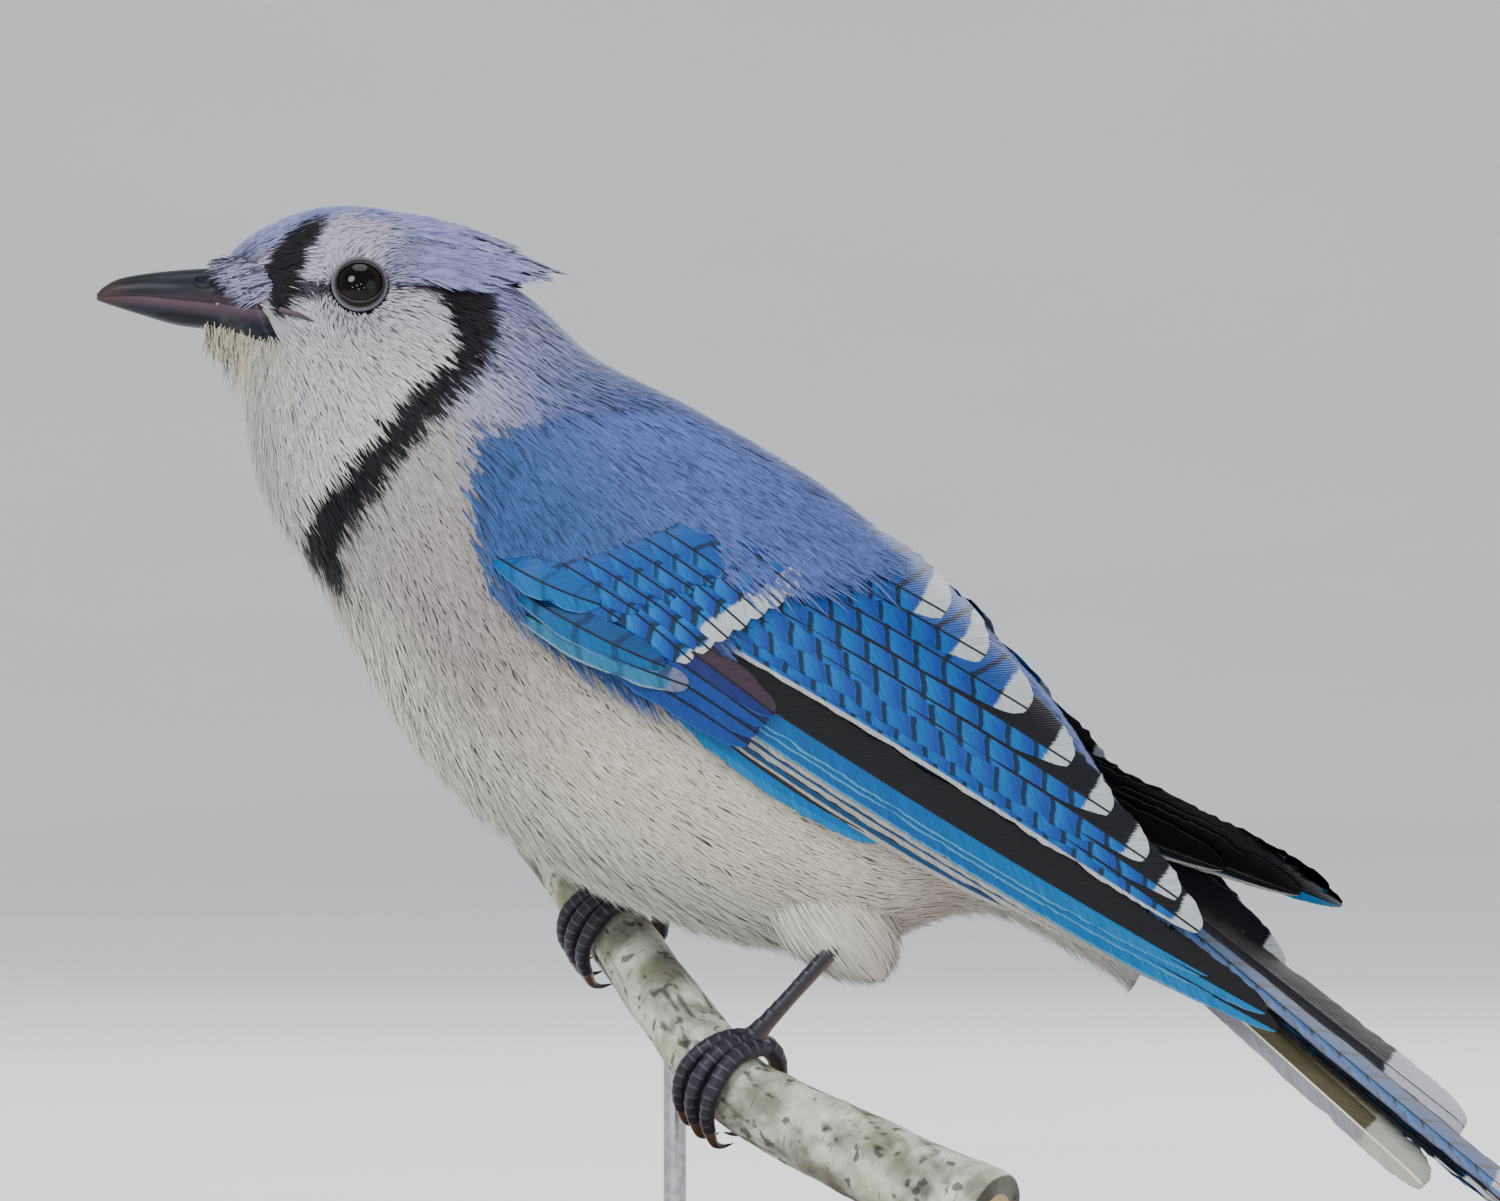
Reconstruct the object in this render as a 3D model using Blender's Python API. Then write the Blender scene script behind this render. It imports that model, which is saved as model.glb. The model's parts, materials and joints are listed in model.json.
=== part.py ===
"""A life-size blue jay that grips a cut length of branch on a small display stand.

The bird faces -X with its left side towards -Y. The origin is the middle of the stand's
underside, and +Z is up.
"""

import math
import random

import bmesh
import bpy
import numpy as np

# Sizes are in millimetres until a mesh is made, which scales them to metres
MM = 0.001
GAP = 0.3
VANE = 0.5
VANE_ROOT = 0.95
SEED = 7

# Body outline in profile, from the bill back to the tail.
# Each row: back point x, z, belly point x, z, half width
BODY = np.array([
    (-77.0, 158.1, -77.0, 149.2, 4.4),
    (-70.5, 163.4, -74.0, 146.8, 8.6),
    (-61.5, 166.6, -72.9, 140.5, 11.6),
    (-50.5, 165.7, -71.9, 134.0, 13.6),
    (-40.5, 159.5, -70.6, 128.0, 14.8),
    (-31.2, 152.8, -67.8, 122.0, 16.5),
    (-23.0, 145.2, -62.5, 115.0, 19.5),
    (-11.3, 139.2, -56.0, 103.0, 22.5),
    (0.0, 132.9, -48.5, 90.5, 24.5),
    (10.0, 126.6, -37.0, 79.0, 25.5),
    (19.5, 118.8, -20.5, 69.3, 25.0),
    (28.0, 111.2, -2.5, 63.2, 23.0),
    (35.5, 103.6, 13.0, 62.0, 19.5),
    (42.0, 96.0, 25.0, 66.5, 15.5),
    (47.5, 87.5, 34.0, 67.0, 12.5),
    (53.0, 78.0, 43.5, 62.5, 10.0),
    (59.0, 68.0, 52.5, 56.8, 7.5),
])
BODY_SIDES = 26
HEAD_END = 4.0
NECK_END = 6.2
TORSO_END = 13.2
TAIL_CORE_END = 16.0
HEAD_RINGS = 10
NECK_RINGS = 6
TORSO_RINGS = 16
TAIL_CORE_RINGS = 7
FULLNESS = 2.15

# Broad smooth form that the folded wings lie on, in the same columns as the body
WING_FORM = np.array([
    (-36.0, 156.0, -82.0, 112.0, 17.5),
    (-20.0, 147.0, -74.0, 102.0, 21.5),
    (-3.0, 137.0, -60.0, 88.0, 25.0),
    (13.0, 126.0, -40.0, 70.0, 26.5),
    (29.0, 112.0, -14.0, 56.0, 24.5),
    (45.0, 97.0, 14.0, 46.0, 19.0),
    (62.0, 83.0, 40.0, 38.0, 14.0),
    (80.0, 70.0, 62.0, 32.0, 11.0),
    (98.0, 56.0, 84.0, 24.0, 10.0),
])

# Bill: culmen height, cutting edge height, lower edge height and half width along x
BILL = np.array([
    (-77.35, 158.0, 153.2, 149.3, 4.3),
    (-82.3, 157.7, 153.7, 150.0, 3.6),
    (-86.8, 157.2, 154.1, 151.3, 2.7),
    (-90.3, 156.5, 154.1, 152.4, 1.8),
    (-92.4, 155.4, 154.0, 153.1, 1.0),
    (-93.4, 154.4, 153.9, 153.5, 0.4),
])

EYE_CENTRE = (-56.1, 155.7)
EYE_RADIUS = 4.4
EYE_OPENING = 3.5
EYE_SINK = 0.2
LID_TUBE = 0.5
LID_SIDES = 16
NOSTRIL_SPOT = (-79.6, 3.9, 155.9)
NOSTRIL_RADII = (1.0, 0.7, 0.45)
MOUTH_LINE = ((-78.6, 153.2), (-74.5, 151.6), (-71.2, 149.6), (-69.2, 148.2))
MOUTH_DEPTH = 0.9
MOUTH_HALF = 0.32

# Crest tiers: root x and z, tip x, z and half spread, feathers, half width
CREST_TIERS = (
    (-53.5, 165.0, -26.0, 156.9, 1.6, 5, 3.0),
    (-50.5, 161.2, -29.6, 155.9, 3.6, 4, 3.0),
    (-47.5, 158.0, -34.5, 154.4, 8.6, 4, 3.0),
)
CREST_SINK = 1.6
CREST_ARCH = 1.2

# Shaft tips of the near wing's feathers, outermost first, with the roots' two ends
PRIMARY_TIPS = ((17.0, 77.6), (41.0, 66.0), (57.0, 58.3), (67.0, 53.3), (72.5, 50.9),
                (71.0, 53.4), (63.0, 58.6))
PRIMARY_ROOTS = ((-16.0, 101.5), (-29.0, 116.5))
SECONDARY_TIPS = ((61.5, 64.8), (58.5, 69.5), (54.0, 75.0), (49.0, 81.5), (43.5, 88.5),
                  (37.5, 96.0), (31.5, 103.5), (26.0, 109.5))
SECONDARY_ROOTS = ((-27.0, 119.0), (-8.0, 125.5))
COVERT_ROOTS = ((-29.0, 118.5), (-9.0, 124.0))
COVERT_TIPS = ((-9.5, 102.8), (5.5, 112.3))
PRIMARY_COVERT_ROOTS = ((-23.5, 104.5), (-18.5, 110.0))
PRIMARY_COVERT_TIPS = ((-1.5, 91.2), (2.0, 95.4))
ALULA = (((-37.0, 117.5), (-22.1, 110.6)), ((-33.5, 112.5), (-13.2, 102.0)),
         ((-33.0, 109.5), (-9.9, 99.3)))
# Wing feathers by kind: outer and inner half width, first layer height, layer step, bow
PRIMARY_FORM = (2.3, 4.6, 0.6, 0.36, -1.6)
SECONDARY_FORM = (3.6, 6.0, 3.2, 0.3, 0.8)
PRIMARY_COVERT_FORM = (2.3, 2.6, 4.0, 0.3, 0.3)
COVERT_FORM = (2.5, 3.3, 5.0, 0.18, 0.3)
ALULA_FORM = (2.5, 2.7, 5.1, -0.25, -0.6)
COVERT_COUNT = 5
WING_BEND = (-38.7, 123.9)
SHOULDER_CENTRE = (-15.0, 117.5)
SHOULDER_HALVES = (25.0, 15.5)
SHOULDER_TILT = -25.0
SHOULDER_RISE = 5.3
SHOULDER_RIM = 0.8
SHOULDER_SIDES = 16
BACK_THINNING = 5.0
LEAST_REACH = 0.9
STEEPEST_SLOPE = 1.6
SLOPE_STEP = 0.8
FAR_WING_TURN = 8.5
FAR_SECONDARY_SHIFT = (12.5, -5.8)

# Tail: root and direction of its middle line in profile, and the feathers' lengths
TAIL_ROOT = (20.6, 96.5)
TAIL_PITCH = 40.0
TAIL_LENGTHS = (99.0, 107.0, 112.0, 115.5, 118.5, 120.0)
# Each tail feather's sideways and upward place at its tip and its roll, near one first
TAIL_SPREAD = (
    (-6.0, -3.4, 30.0),
    (-5.2, -2.0, 28.0),
    (-4.2, -0.9, 26.0),
    (-3.0, 0.1, 24.0),
    (-1.8, 0.8, 22.0),
    (-0.6, 1.4, 20.0),
    (0.8, 1.9, 20.0),
    (2.4, 1.9, 22.0),
    (4.0, 1.8, 24.0),
    (5.6, 1.6, 24.0),
    (7.4, 2.0, 24.0),
    (9.6, 4.9, 38.0),
)
TAIL_GATHER = 0.35
TAIL_HALF_WIDTHS = (4.4, 6.6)
TAIL_VANE_START = 0.3

PERCH = np.array([
    (-36.5, 46.0, 85.5, 4.8),
    (-31.2, 38.0, 78.8, 4.8),
    (-25.8, 30.0, 71.6, 4.8),
    (-20.4, 21.0, 64.1, 4.8),
    (-12.0, 4.5, 53.0, 5.0),
    (-3.5, -12.5, 42.9, 5.3),
    (9.9, -22.0, 35.8, 5.8),
    (22.0, -30.0, 30.2, 6.1),
    (32.5, -37.0, 25.6, 6.3),
])
PERCH_SIDES = 12
PERCH_RINGS = 16
PERCH_WOBBLE = 0.16

# Feet: place on the branch, and the ankle in space
FEET = {
    "right": (3.0, np.array([-13.5, 20.5, 78.5])),
    "left": (5.0, np.array([10.0, -13.5, 62.0])),
}
# Length of leg that belongs to the foot, above its pad
SHANK_STUBS = {"right": 3.4, "left": 3.6}
PAD_HEIGHT = 2.0
SHANK_RADIUS = 1.3
# Front toes: shift along the branch and radius at the root
FRONT_TOES = ((-3.4, 1.25), (0.0, 1.35), (3.4, 1.25))
HIND_TOE_RADIUS = 1.5
HIND_TOE_LIFT = 1.75
TOE_SIDES = 7
# Thighs: centre, radii and turn about the Y axis
THIGHS = {
    "left": (np.array([8.5, -12.5, 68.6]), (13.0, 7.5, 8.4), 42.0),
    "right": (np.array([-5.5, 17.0, 77.5]), (11.0, 6.5, 7.5), 38.0),
}

BASE_SIZE = (118.0, 92.0, 8.0)
BASE_ROUND = 9.0
BASE_BEVEL = 1.0
ROD_RADIUS = 1.6
ROD_DEPTH = 4.0
ROD_SIDES = 16
ROD_PERCH_SPOTS = (4.0, 6.85)


def clear_scene():
    for thing in list(bpy.data.objects):
        bpy.data.objects.remove(thing, do_unlink=True)


def material(name, colour, roughness, metallic=0.0):
    made = bpy.data.materials.new(name)
    made.use_nodes = True
    surface = made.node_tree.nodes["Principled BSDF"]
    surface.inputs["Base Color"].default_value = (*colour, 1.0)
    surface.inputs["Roughness"].default_value = roughness
    surface.inputs["Metallic"].default_value = metallic
    return made


def spline(rows, at):
    """Catmull-Rom value of a table of rows at a fractional row number."""
    last = len(rows) - 1
    here = min(max(int(math.floor(at)), 0), last - 1)
    t = at - here
    before = rows[here - 1] if here > 0 else 2 * rows[0] - rows[1]
    after = rows[here + 2] if here + 2 <= last else 2 * rows[last] - rows[last - 1]
    a, b = rows[here], rows[here + 1]
    return 0.5 * (2 * a + (b - before) * t + (2 * before - 5 * a + 4 * b - after) * t ** 2
                  + (3 * a - before - 3 * b + after) * t ** 3)


def section(table, at, angle, swell=0.0):
    """Point of a body section: angle 0 is the back, 90 the left side, 180 the belly."""
    back_x, back_z, belly_x, belly_z, half_width = spline(table, at)
    c = math.cos(angle)
    s = math.sin(angle)
    along = math.copysign(abs(c) ** (2 / FULLNESS), c)
    across = math.copysign(abs(s) ** (2 / FULLNESS), s)
    middle = np.array([(back_x + belly_x) / 2, 0.0, (back_z + belly_z) / 2])
    up = np.array([(back_x - belly_x) / 2, 0.0, (back_z - belly_z) / 2])
    reach = np.linalg.norm(up)
    up = up / reach
    side = np.array([0.0, -1.0, 0.0])
    return middle + up * along * (reach + swell) + side * across * (half_width + swell)


def ring(table, at, sides, swell=0.0):
    return np.array([section(table, at, 2 * math.pi * k / sides, swell) for k in range(sides)])


def depth(table, x, z):
    """Half width of a lofted form where a level line across the body meets it in profile."""
    point = np.array([x, z])
    best = None
    count = 12 * (len(table) - 1)
    for step in range(count + 1):
        row = spline(table, step / 12)
        back, belly = row[0:2], row[2:4]
        span = belly - back
        offset = point - back
        off = abs(span[0] * offset[1] - span[1] * offset[0]) / np.linalg.norm(span)
        if best is None or off < best[0]:
            best = (off, np.dot(offset, span) / np.dot(span, span), row[4])
    down = min(max(best[1], 0.0), 1.0)
    c = abs(1 - 2 * down) ** FULLNESS
    return best[2] * max(1 - c, 0.0) ** (1 / FULLNESS)


def form_normal(table, point, side):
    """Outward direction of a lofted form at a profile point, its slope held within bounds."""
    slopes = []
    for axis in range(2):
        offset = np.zeros(2)
        offset[axis] = SLOPE_STEP
        change = depth(table, *(point + offset)) - depth(table, *(point - offset))
        slope = change / (2 * SLOPE_STEP)
        slopes.append(min(max(slope, -STEEPEST_SLOPE), STEEPEST_SLOPE))
    return unit(np.array([-slopes[0], side, -slopes[1]]))


def mesh_object(name, points, faces):
    mesh = bpy.data.meshes.new(name)
    mesh.from_pydata([tuple(float(v) * MM for v in p) for p in points], [], faces)
    bm = bmesh.new()
    bm.from_mesh(mesh)
    bmesh.ops.recalc_face_normals(bm, faces=bm.faces)
    bm.to_mesh(mesh)
    bm.free()
    made = bpy.data.objects.new(name, mesh)
    bpy.context.scene.collection.objects.link(made)
    return made


def loft(name, rings):
    """Closed skin over a list of rings of equal count, capped at both ends."""
    sides = len(rings[0])
    points = [p for one in rings for p in one]
    faces = []
    for row in range(len(rings) - 1):
        for k in range(sides):
            a = row * sides + k
            b = row * sides + (k + 1) % sides
            faces.append((a, b, b + sides, a + sides))
    faces.append(tuple(range(sides)))
    start = (len(rings) - 1) * sides
    faces.append(tuple(range(start, start + sides)))
    return mesh_object(name, points, faces)


def vane(name, left, right, normal, thickness):
    """Thin closed blade between two edges, split into triangles alike on both faces."""
    count = len(left)
    points = []
    for k in range(count):
        lift = normal[k] * thickness[k] / 2
        points += [left[k] + lift, right[k] + lift, right[k] - lift, left[k] - lift]
    faces = [(0, 1, 2), (0, 2, 3)]
    for k in range(count - 1):
        a = 4 * k
        b = a + 4
        faces += [(a, a + 1, b + 1), (a, b + 1, b)]
        faces += [(a + 3, a + 2, b + 2), (a + 3, b + 2, b + 3)]
        faces += [(a + 1, a + 2, b + 2), (a + 1, b + 2, b + 1)]
        faces += [(a, a + 3, b + 3), (a, b + 3, b)]
    end = 4 * (count - 1)
    faces += [(end, end + 1, end + 2), (end, end + 2, end + 3)]
    return mesh_object(name, points, faces)


def unit(vector):
    return vector / np.linalg.norm(vector)


def apply_modifiers(thing):
    graph = bpy.context.evaluated_depsgraph_get()
    mesh = bpy.data.meshes.new_from_object(thing.evaluated_get(graph))
    thing.modifiers.clear()
    thing.data = mesh


def keep_largest(thing):
    """Drops every closed surface of a mesh but the one with the most faces."""
    bm = bmesh.new()
    bm.from_mesh(thing.data)
    left = set(bm.faces)
    groups = []
    while left:
        seed = next(iter(left))
        left.discard(seed)
        group = {seed}
        front = [seed]
        while front:
            face = front.pop()
            for edge in face.edges:
                for near in edge.link_faces:
                    if near in left:
                        left.discard(near)
                        group.add(near)
                        front.append(near)
        groups.append(group)
    groups.sort(key=len)
    for group in groups[:-1]:
        bmesh.ops.delete(bm, geom=list(group), context="FACES")
    bm.to_mesh(thing.data)
    bm.free()


def combine(base, others, operation, solver="EXACT"):
    """One Boolean of a collection of closed pieces on the base, applied at once."""
    group = bpy.data.collections.new(base.name + "_pieces")
    bpy.context.scene.collection.children.link(group)
    for piece in others:
        bpy.context.scene.collection.objects.unlink(piece)
        group.objects.link(piece)
    change = base.modifiers.new(operation.lower(), "BOOLEAN")
    change.operation = operation
    change.operand_type = "COLLECTION"
    change.collection = group
    change.solver = solver
    apply_modifiers(base)
    for piece in others:
        bpy.data.objects.remove(piece, do_unlink=True)
    bpy.data.collections.remove(group)
    keep_largest(base)


def finish(thing, look, crease=35.0):
    thing.data.materials.clear()
    thing.data.materials.append(look)
    thing.data.shade_smooth()
    thing.data.set_sharp_from_angle(angle=math.radians(crease))


def body_rings(start, end, count, swell=0.0):
    """Rings of the body between two row numbers."""
    return [ring(BODY, start + (end - start) * k / (count - 1), BODY_SIDES, swell)
            for k in range(count)]


def set_back(rings):
    """Moves the first ring along the loft by the gap, so that it faces its neighbour."""
    first = rings[0]
    middle = first.mean(axis=0)
    normal = unit(np.cross(first[0] - middle, first[len(first) // 4] - middle))
    if np.dot(normal, rings[1].mean(axis=0) - middle) < 0:
        normal = -normal
    rings[0] = first + normal * GAP
    return rings


def ellipsoid(name, centre, radii, turn=0.0, rings=10, sides=16):
    """Ellipsoid whose long axes are turned about the Y axis."""
    c = math.cos(math.radians(turn))
    s = math.sin(math.radians(turn))
    loops = []
    for k in range(1, rings):
        polar = math.pi * k / rings
        loop = []
        for j in range(sides):
            around = 2 * math.pi * j / sides
            x = radii[0] * math.cos(polar)
            y = radii[1] * math.sin(polar) * math.cos(around)
            z = radii[2] * math.sin(polar) * math.sin(around)
            loop.append(np.array([x * c + z * s, y, -x * s + z * c]) + centre)
        loops.append(np.array(loop))
    return loft(name, loops)


def tube(name, path, radii, sides, flat=1.0):
    """Tube of changing radius along a path, slightly flattened across its bend if asked."""
    loops = []
    path = np.array(path)
    guide = np.array([0.0, 1.0, 0.0])
    for k in range(len(path)):
        ahead = path[min(k + 1, len(path) - 1)]
        behind = path[max(k - 1, 0)]
        forward = unit(ahead - behind)
        side = guide - forward * np.dot(guide, forward)
        side = unit(side)
        up = np.cross(forward, side)
        guide = side
        loop = []
        for j in range(sides):
            a = 2 * math.pi * (j + 0.5) / sides
            loop.append(path[k] + radii[k] * (side * math.cos(a) + up * math.sin(a) * flat))
        loops.append(np.array(loop))
    return loft(name, loops)


def torso_form():
    """The torso grown by the gap, as a cutter for the legs that meet it."""
    return loft("cut", body_rings(NECK_END, TORSO_END, TORSO_RINGS, GAP))


def back_form():
    """The torso and the root of the tail grown by the gap, as a cutter for the wings."""
    rings = body_rings(NECK_END, TORSO_END, TORSO_RINGS, GAP)
    rings += body_rings(TORSO_END, TAIL_CORE_END, TAIL_CORE_RINGS, GAP)[1:]
    return loft("cut", rings)


def neck_form():
    """Cutter that keeps the crest clear of the neck and starts just behind the head."""
    rings = set_back(body_rings(HEAD_END, NECK_END, NECK_RINGS, GAP))
    rings[0] = rings[0] * 0.6 + ring(BODY, HEAD_END, BODY_SIDES, GAP) * 0.4
    return loft("cut", rings)


def head(look):
    made = loft("head", body_rings(0.0, HEAD_END, HEAD_RINGS))
    pieces = [lid_ring("lid", side) for side in (-1, 1)]
    pieces += crest_vanes()
    combine(made, pieces, "UNION")
    cuts = [neck_form()]
    for side in (-1, 1):
        cuts.append(ball("socket", eye_middle(side), EYE_RADIUS + GAP))
        cuts.append(mouth_groove(side))
    combine(made, cuts, "DIFFERENCE")
    finish(made, look)
    return made


def eye_axis(side):
    return form_normal(BODY, np.array(EYE_CENTRE), side)


def eye_middle(side):
    on_skin = np.array([EYE_CENTRE[0], side * depth(BODY, *EYE_CENTRE), EYE_CENTRE[1]])
    sink = math.sqrt(EYE_RADIUS ** 2 - EYE_OPENING ** 2) + EYE_SINK
    return on_skin - eye_axis(side) * sink


def ball(name, centre, radius, rings=10, sides=16):
    return ellipsoid(name, centre, (radius, radius, radius), 0.0, rings, sides)


def lid_ring(name, side):
    """Raised rim round the eye, on the plane where the eyeball meets the skin."""
    outward = eye_axis(side)
    middle = eye_middle(side) + outward * (math.sqrt(EYE_RADIUS ** 2 - EYE_OPENING ** 2) - 0.25)
    first = unit(np.cross(outward, np.array([0.0, 0.0, 1.0])))
    second = np.cross(outward, first)
    tube_sides = 5
    points = []
    faces = []
    for k in range(LID_SIDES):
        a = 2 * math.pi * k / LID_SIDES
        radial = first * math.cos(a) + second * math.sin(a)
        for j in range(tube_sides):
            b = 2 * math.pi * j / tube_sides
            reach = EYE_OPENING + LID_TUBE * (1.1 + 1.2 * math.cos(b))
            points.append(middle + radial * reach + outward * LID_TUBE * 1.5 * math.sin(b))
    for k in range(LID_SIDES):
        row = k * tube_sides
        after = ((k + 1) % LID_SIDES) * tube_sides
        for j in range(tube_sides):
            near = (j + 1) % tube_sides
            faces.append((row + j, row + near, after + near, after + j))
    return mesh_object(name, points, faces)


def mouth_groove(side):
    """Thin wedge that cuts the line of the mouth back from the bill to the gape."""
    loops = []
    for x, z in MOUTH_LINE:
        skin = depth(BODY, max(x, BODY[0][0]), z)
        inner = side * (skin - MOUTH_DEPTH)
        outer = side * (skin + 1.5)
        loops.append(np.array([
            (x, inner, z), (x, outer, z - MOUTH_HALF), (x, outer, z + MOUTH_HALF)]))
    return loft("mouth", loops)


def crest_vanes():
    """Crest feathers in three tiers, from the crown back over the nape."""
    draw = random.Random(SEED)
    pieces = []
    for tier, row in enumerate(CREST_TIERS):
        root_x, root_z, tip_x, tip_z, tip_spread, count, half = row
        spread = max(depth(BODY, root_x, root_z) - CREST_SINK, 0.0)
        for k in range(count):
            across = -1 + 2 * k / (count - 1)
            behind = 0.0
            shorter = 0.1 * abs(across)
            if tier:
                behind = k % 2
                across = math.copysign(1.0 - 0.22 * behind, across)
                shorter = 0.14 * behind
            root = np.array([root_x + 1.5 * (k % 2), across * spread, root_z - 0.8 * behind])
            root[2] -= CREST_SINK * (0.6 if tier == 0 else 0.3)
            tip = np.array([tip_x, across * tip_spread, tip_z])
            tip = root + (tip - root) * (1.0 - shorter + draw.uniform(-0.03, 0.03))
            pieces.append(crest_vane("crest", root, tip, half))
    return pieces


def crest_vane(name, root, tip, half):
    count = 5
    left = []
    right = []
    normals = []
    thick = []
    forward = unit(tip - root)
    for k in range(count):
        t = k / (count - 1)
        arch = CREST_ARCH * 4 * t * (1 - t)
        middle = root * (1 - t) + tip * t + np.array([0.0, 0.0, arch])
        outward = unit(np.array([0.0, middle[1] * 1.6, 7.0]))
        across = unit(np.cross(forward, outward))
        outward = np.cross(across, forward)
        width = half * (0.3 + 0.7 * math.sin(math.pi * min(t * 1.7, 1.0) / 2))
        width *= 1 - 0.88 * max(0.0, (t - 0.5) / 0.5) ** 1.6
        left.append(middle - across * width)
        right.append(middle + across * width)
        normals.append(outward)
        thick.append(1.1 - 0.65 * t)
    return vane(name, np.array(left), np.array(right), np.array(normals), thick)


def bill_half(name, upper, look):
    """One mandible as a loft from its base to its tip, flat where the two meet."""
    loops = []
    steps = 11
    sides = 11
    for k in range(steps):
        x, top, edge, low, half = spline(BILL, (len(BILL) - 1) * (k / (steps - 1)) ** 0.85)
        flat = edge + GAP / 2 if upper else edge - GAP / 2
        rise = max(top - flat, 0.35) if upper else min(low - flat, -0.3)
        width = half if upper else half * 0.9
        loop = []
        for j in range(sides):
            a = math.pi * j / (sides - 1)
            loop.append((x, -width * math.cos(a), flat + rise * math.sin(a) ** 0.8))
        loops.append(np.array(loop))
    made = loft(name, loops)
    if upper:
        cuts = []
        for side in (-1, 1):
            spot = np.array([NOSTRIL_SPOT[0], side * NOSTRIL_SPOT[1], NOSTRIL_SPOT[2]])
            cuts.append(ellipsoid("nostril", spot, NOSTRIL_RADII, -8.0, 6, 10))
        combine(made, cuts, "DIFFERENCE")
    finish(made, look)
    return made


def eye(name, side, look):
    made = ball(name, eye_middle(side), EYE_RADIUS)
    finish(made, look)
    return made


def wing_vane(name, side, root, tip, form, place, turn, steps=5, tip_round=0.35):
    """Feather laid on the flank: a bowed shaft with its own outer and inner width."""
    outer, inner, first_layer, layer_step, bow = form
    layer = first_layer + layer_step * place
    root = turned(np.array(root), turn)
    tip = turned(np.array(tip), turn)
    forward = unit(tip - root)
    upward = np.array([-forward[1], forward[0]])
    sunk = min(layer, dome(root, turn) * 0.6)
    left = []
    right = []
    thick = []
    normals = []
    for k in range(steps):
        t = 1 - (1 - k / (steps - 1)) ** 1.35
        middle = root * (1 - t) + tip * t + upward * bow * 4 * t * (1 - t)
        taper = 0.55 + 0.45 * min(t / 0.3, 1.0)
        round_off = 1.0
        if t > 1 - tip_round:
            over = (t - (1 - tip_round)) / tip_round
            round_off = math.sqrt(max(1 - over ** 2, 0.02))
        low = middle - upward * outer * taper * round_off
        high = middle + upward * inner * taper * round_off
        height = layer + (sunk - layer) * max(1 - t / 0.4, 0.0) ** 1.5
        left.append(on_flank(low, side, height))
        right.append(on_flank(high, side, height))
        normals.append(form_normal(WING_FORM, middle, side))
        thick.append(VANE_ROOT + (VANE - VANE_ROOT) * t)
    return vane(name, np.array(left), np.array(right), np.array(normals), thick)


def turned(point, degrees):
    """Profile point turned about the bend of the wing."""
    c = math.cos(math.radians(degrees))
    s = math.sin(math.radians(degrees))
    bend = np.array(WING_BEND)
    dx, dz = point - bend
    return bend + np.array([dx * c - dz * s, dx * s + dz * c])


def on_flank(point, side, layer):
    """Point of a wing, its layer above the flank, which thins towards the middle of the back."""
    flank = depth(WING_FORM, point[0], point[1])
    reach = max(flank + layer * flank / (flank + BACK_THINNING), LEAST_REACH)
    return np.array([point[0], side * reach, point[1]])


def dome(point, turn):
    """Height of the shoulder's domed oval over the flank at a profile point."""
    angle = math.radians(SHOULDER_TILT + turn)
    axis = np.array([math.cos(angle), math.sin(angle)])
    offset = np.array(point) - turned(np.array(SHOULDER_CENTRE), turn)
    cross = np.array([-axis[1], axis[0]])
    reach = math.hypot(np.dot(offset, axis) / SHOULDER_HALVES[0],
                       np.dot(offset, cross) / SHOULDER_HALVES[1])
    return SHOULDER_RIM + (SHOULDER_RISE - SHOULDER_RIM) * max(1 - reach ** 2.6, 0.0) ** 0.7


def shoulder(name, side, turn):
    """Domed oval of the arm and its small coverts, which holds the feathers' roots."""
    angle = math.radians(SHOULDER_TILT + turn)
    axis = np.array([math.cos(angle), math.sin(angle)])
    cross = np.array([-axis[1], axis[0]])
    centre = turned(np.array(SHOULDER_CENTRE), turn)
    outside = []
    inside = []
    for reach in (1.0, 0.84, 0.5):
        for layers, outer in ((outside, True), (inside, False)):
            loop = []
            for k in range(SHOULDER_SIDES):
                a = 2 * math.pi * k / SHOULDER_SIDES
                spot = centre + axis * SHOULDER_HALVES[0] * reach * math.cos(a)
                spot = spot + cross * SHOULDER_HALVES[1] * reach * math.sin(a)
                rise = dome(spot, turn) if outer else 0.15
                loop.append(on_flank(spot, side, rise))
            layers.append(np.array(loop))
    return loft(name, inside[::-1] + outside)


def between(ends, t):
    return np.array(ends[0]) * (1 - t) + np.array(ends[1]) * t


def wing(name, side, turn, look):
    """Folded wing: arm, primaries, secondaries, primary coverts, alula and greater coverts."""
    pieces = []
    for k, tip in enumerate(PRIMARY_TIPS):
        root = between(PRIMARY_ROOTS, k / (len(PRIMARY_TIPS) - 1))
        pieces.append(wing_vane("primary", side, root, tip, PRIMARY_FORM, k, turn))
    shift = np.array(FAR_SECONDARY_SHIFT if turn else (0.0, 0.0))
    for k, tip in enumerate(SECONDARY_TIPS):
        t = k / (len(SECONDARY_TIPS) - 1)
        root = between(SECONDARY_ROOTS, t)
        tip = np.array(tip) + shift * (1 - t)
        pieces.append(wing_vane("secondary", side, root, tip, SECONDARY_FORM, k, 0.0))
    for k in range(3):
        root = between(PRIMARY_COVERT_ROOTS, k / 2)
        tip = between(PRIMARY_COVERT_TIPS, k / 2)
        pieces.append(wing_vane("primary_covert", side, root, tip, PRIMARY_COVERT_FORM, k, turn,
                                4, 0.5))
    for k in range(COVERT_COUNT):
        root = between(COVERT_ROOTS, k / (COVERT_COUNT - 1))
        tip = between(COVERT_TIPS, k / (COVERT_COUNT - 1))
        pieces.append(wing_vane("greater_covert", side, root, tip, COVERT_FORM, k, turn, 4, 0.45))
    for k, (root, tip) in enumerate(ALULA):
        pieces.append(wing_vane("alula", side, root, tip, ALULA_FORM, k, turn, 4, 0.55))
    made = shoulder(name, side, turn)
    combine(made, pieces, "UNION")
    combine(made, [back_form()], "DIFFERENCE")
    finish(made, look)
    return made


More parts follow.
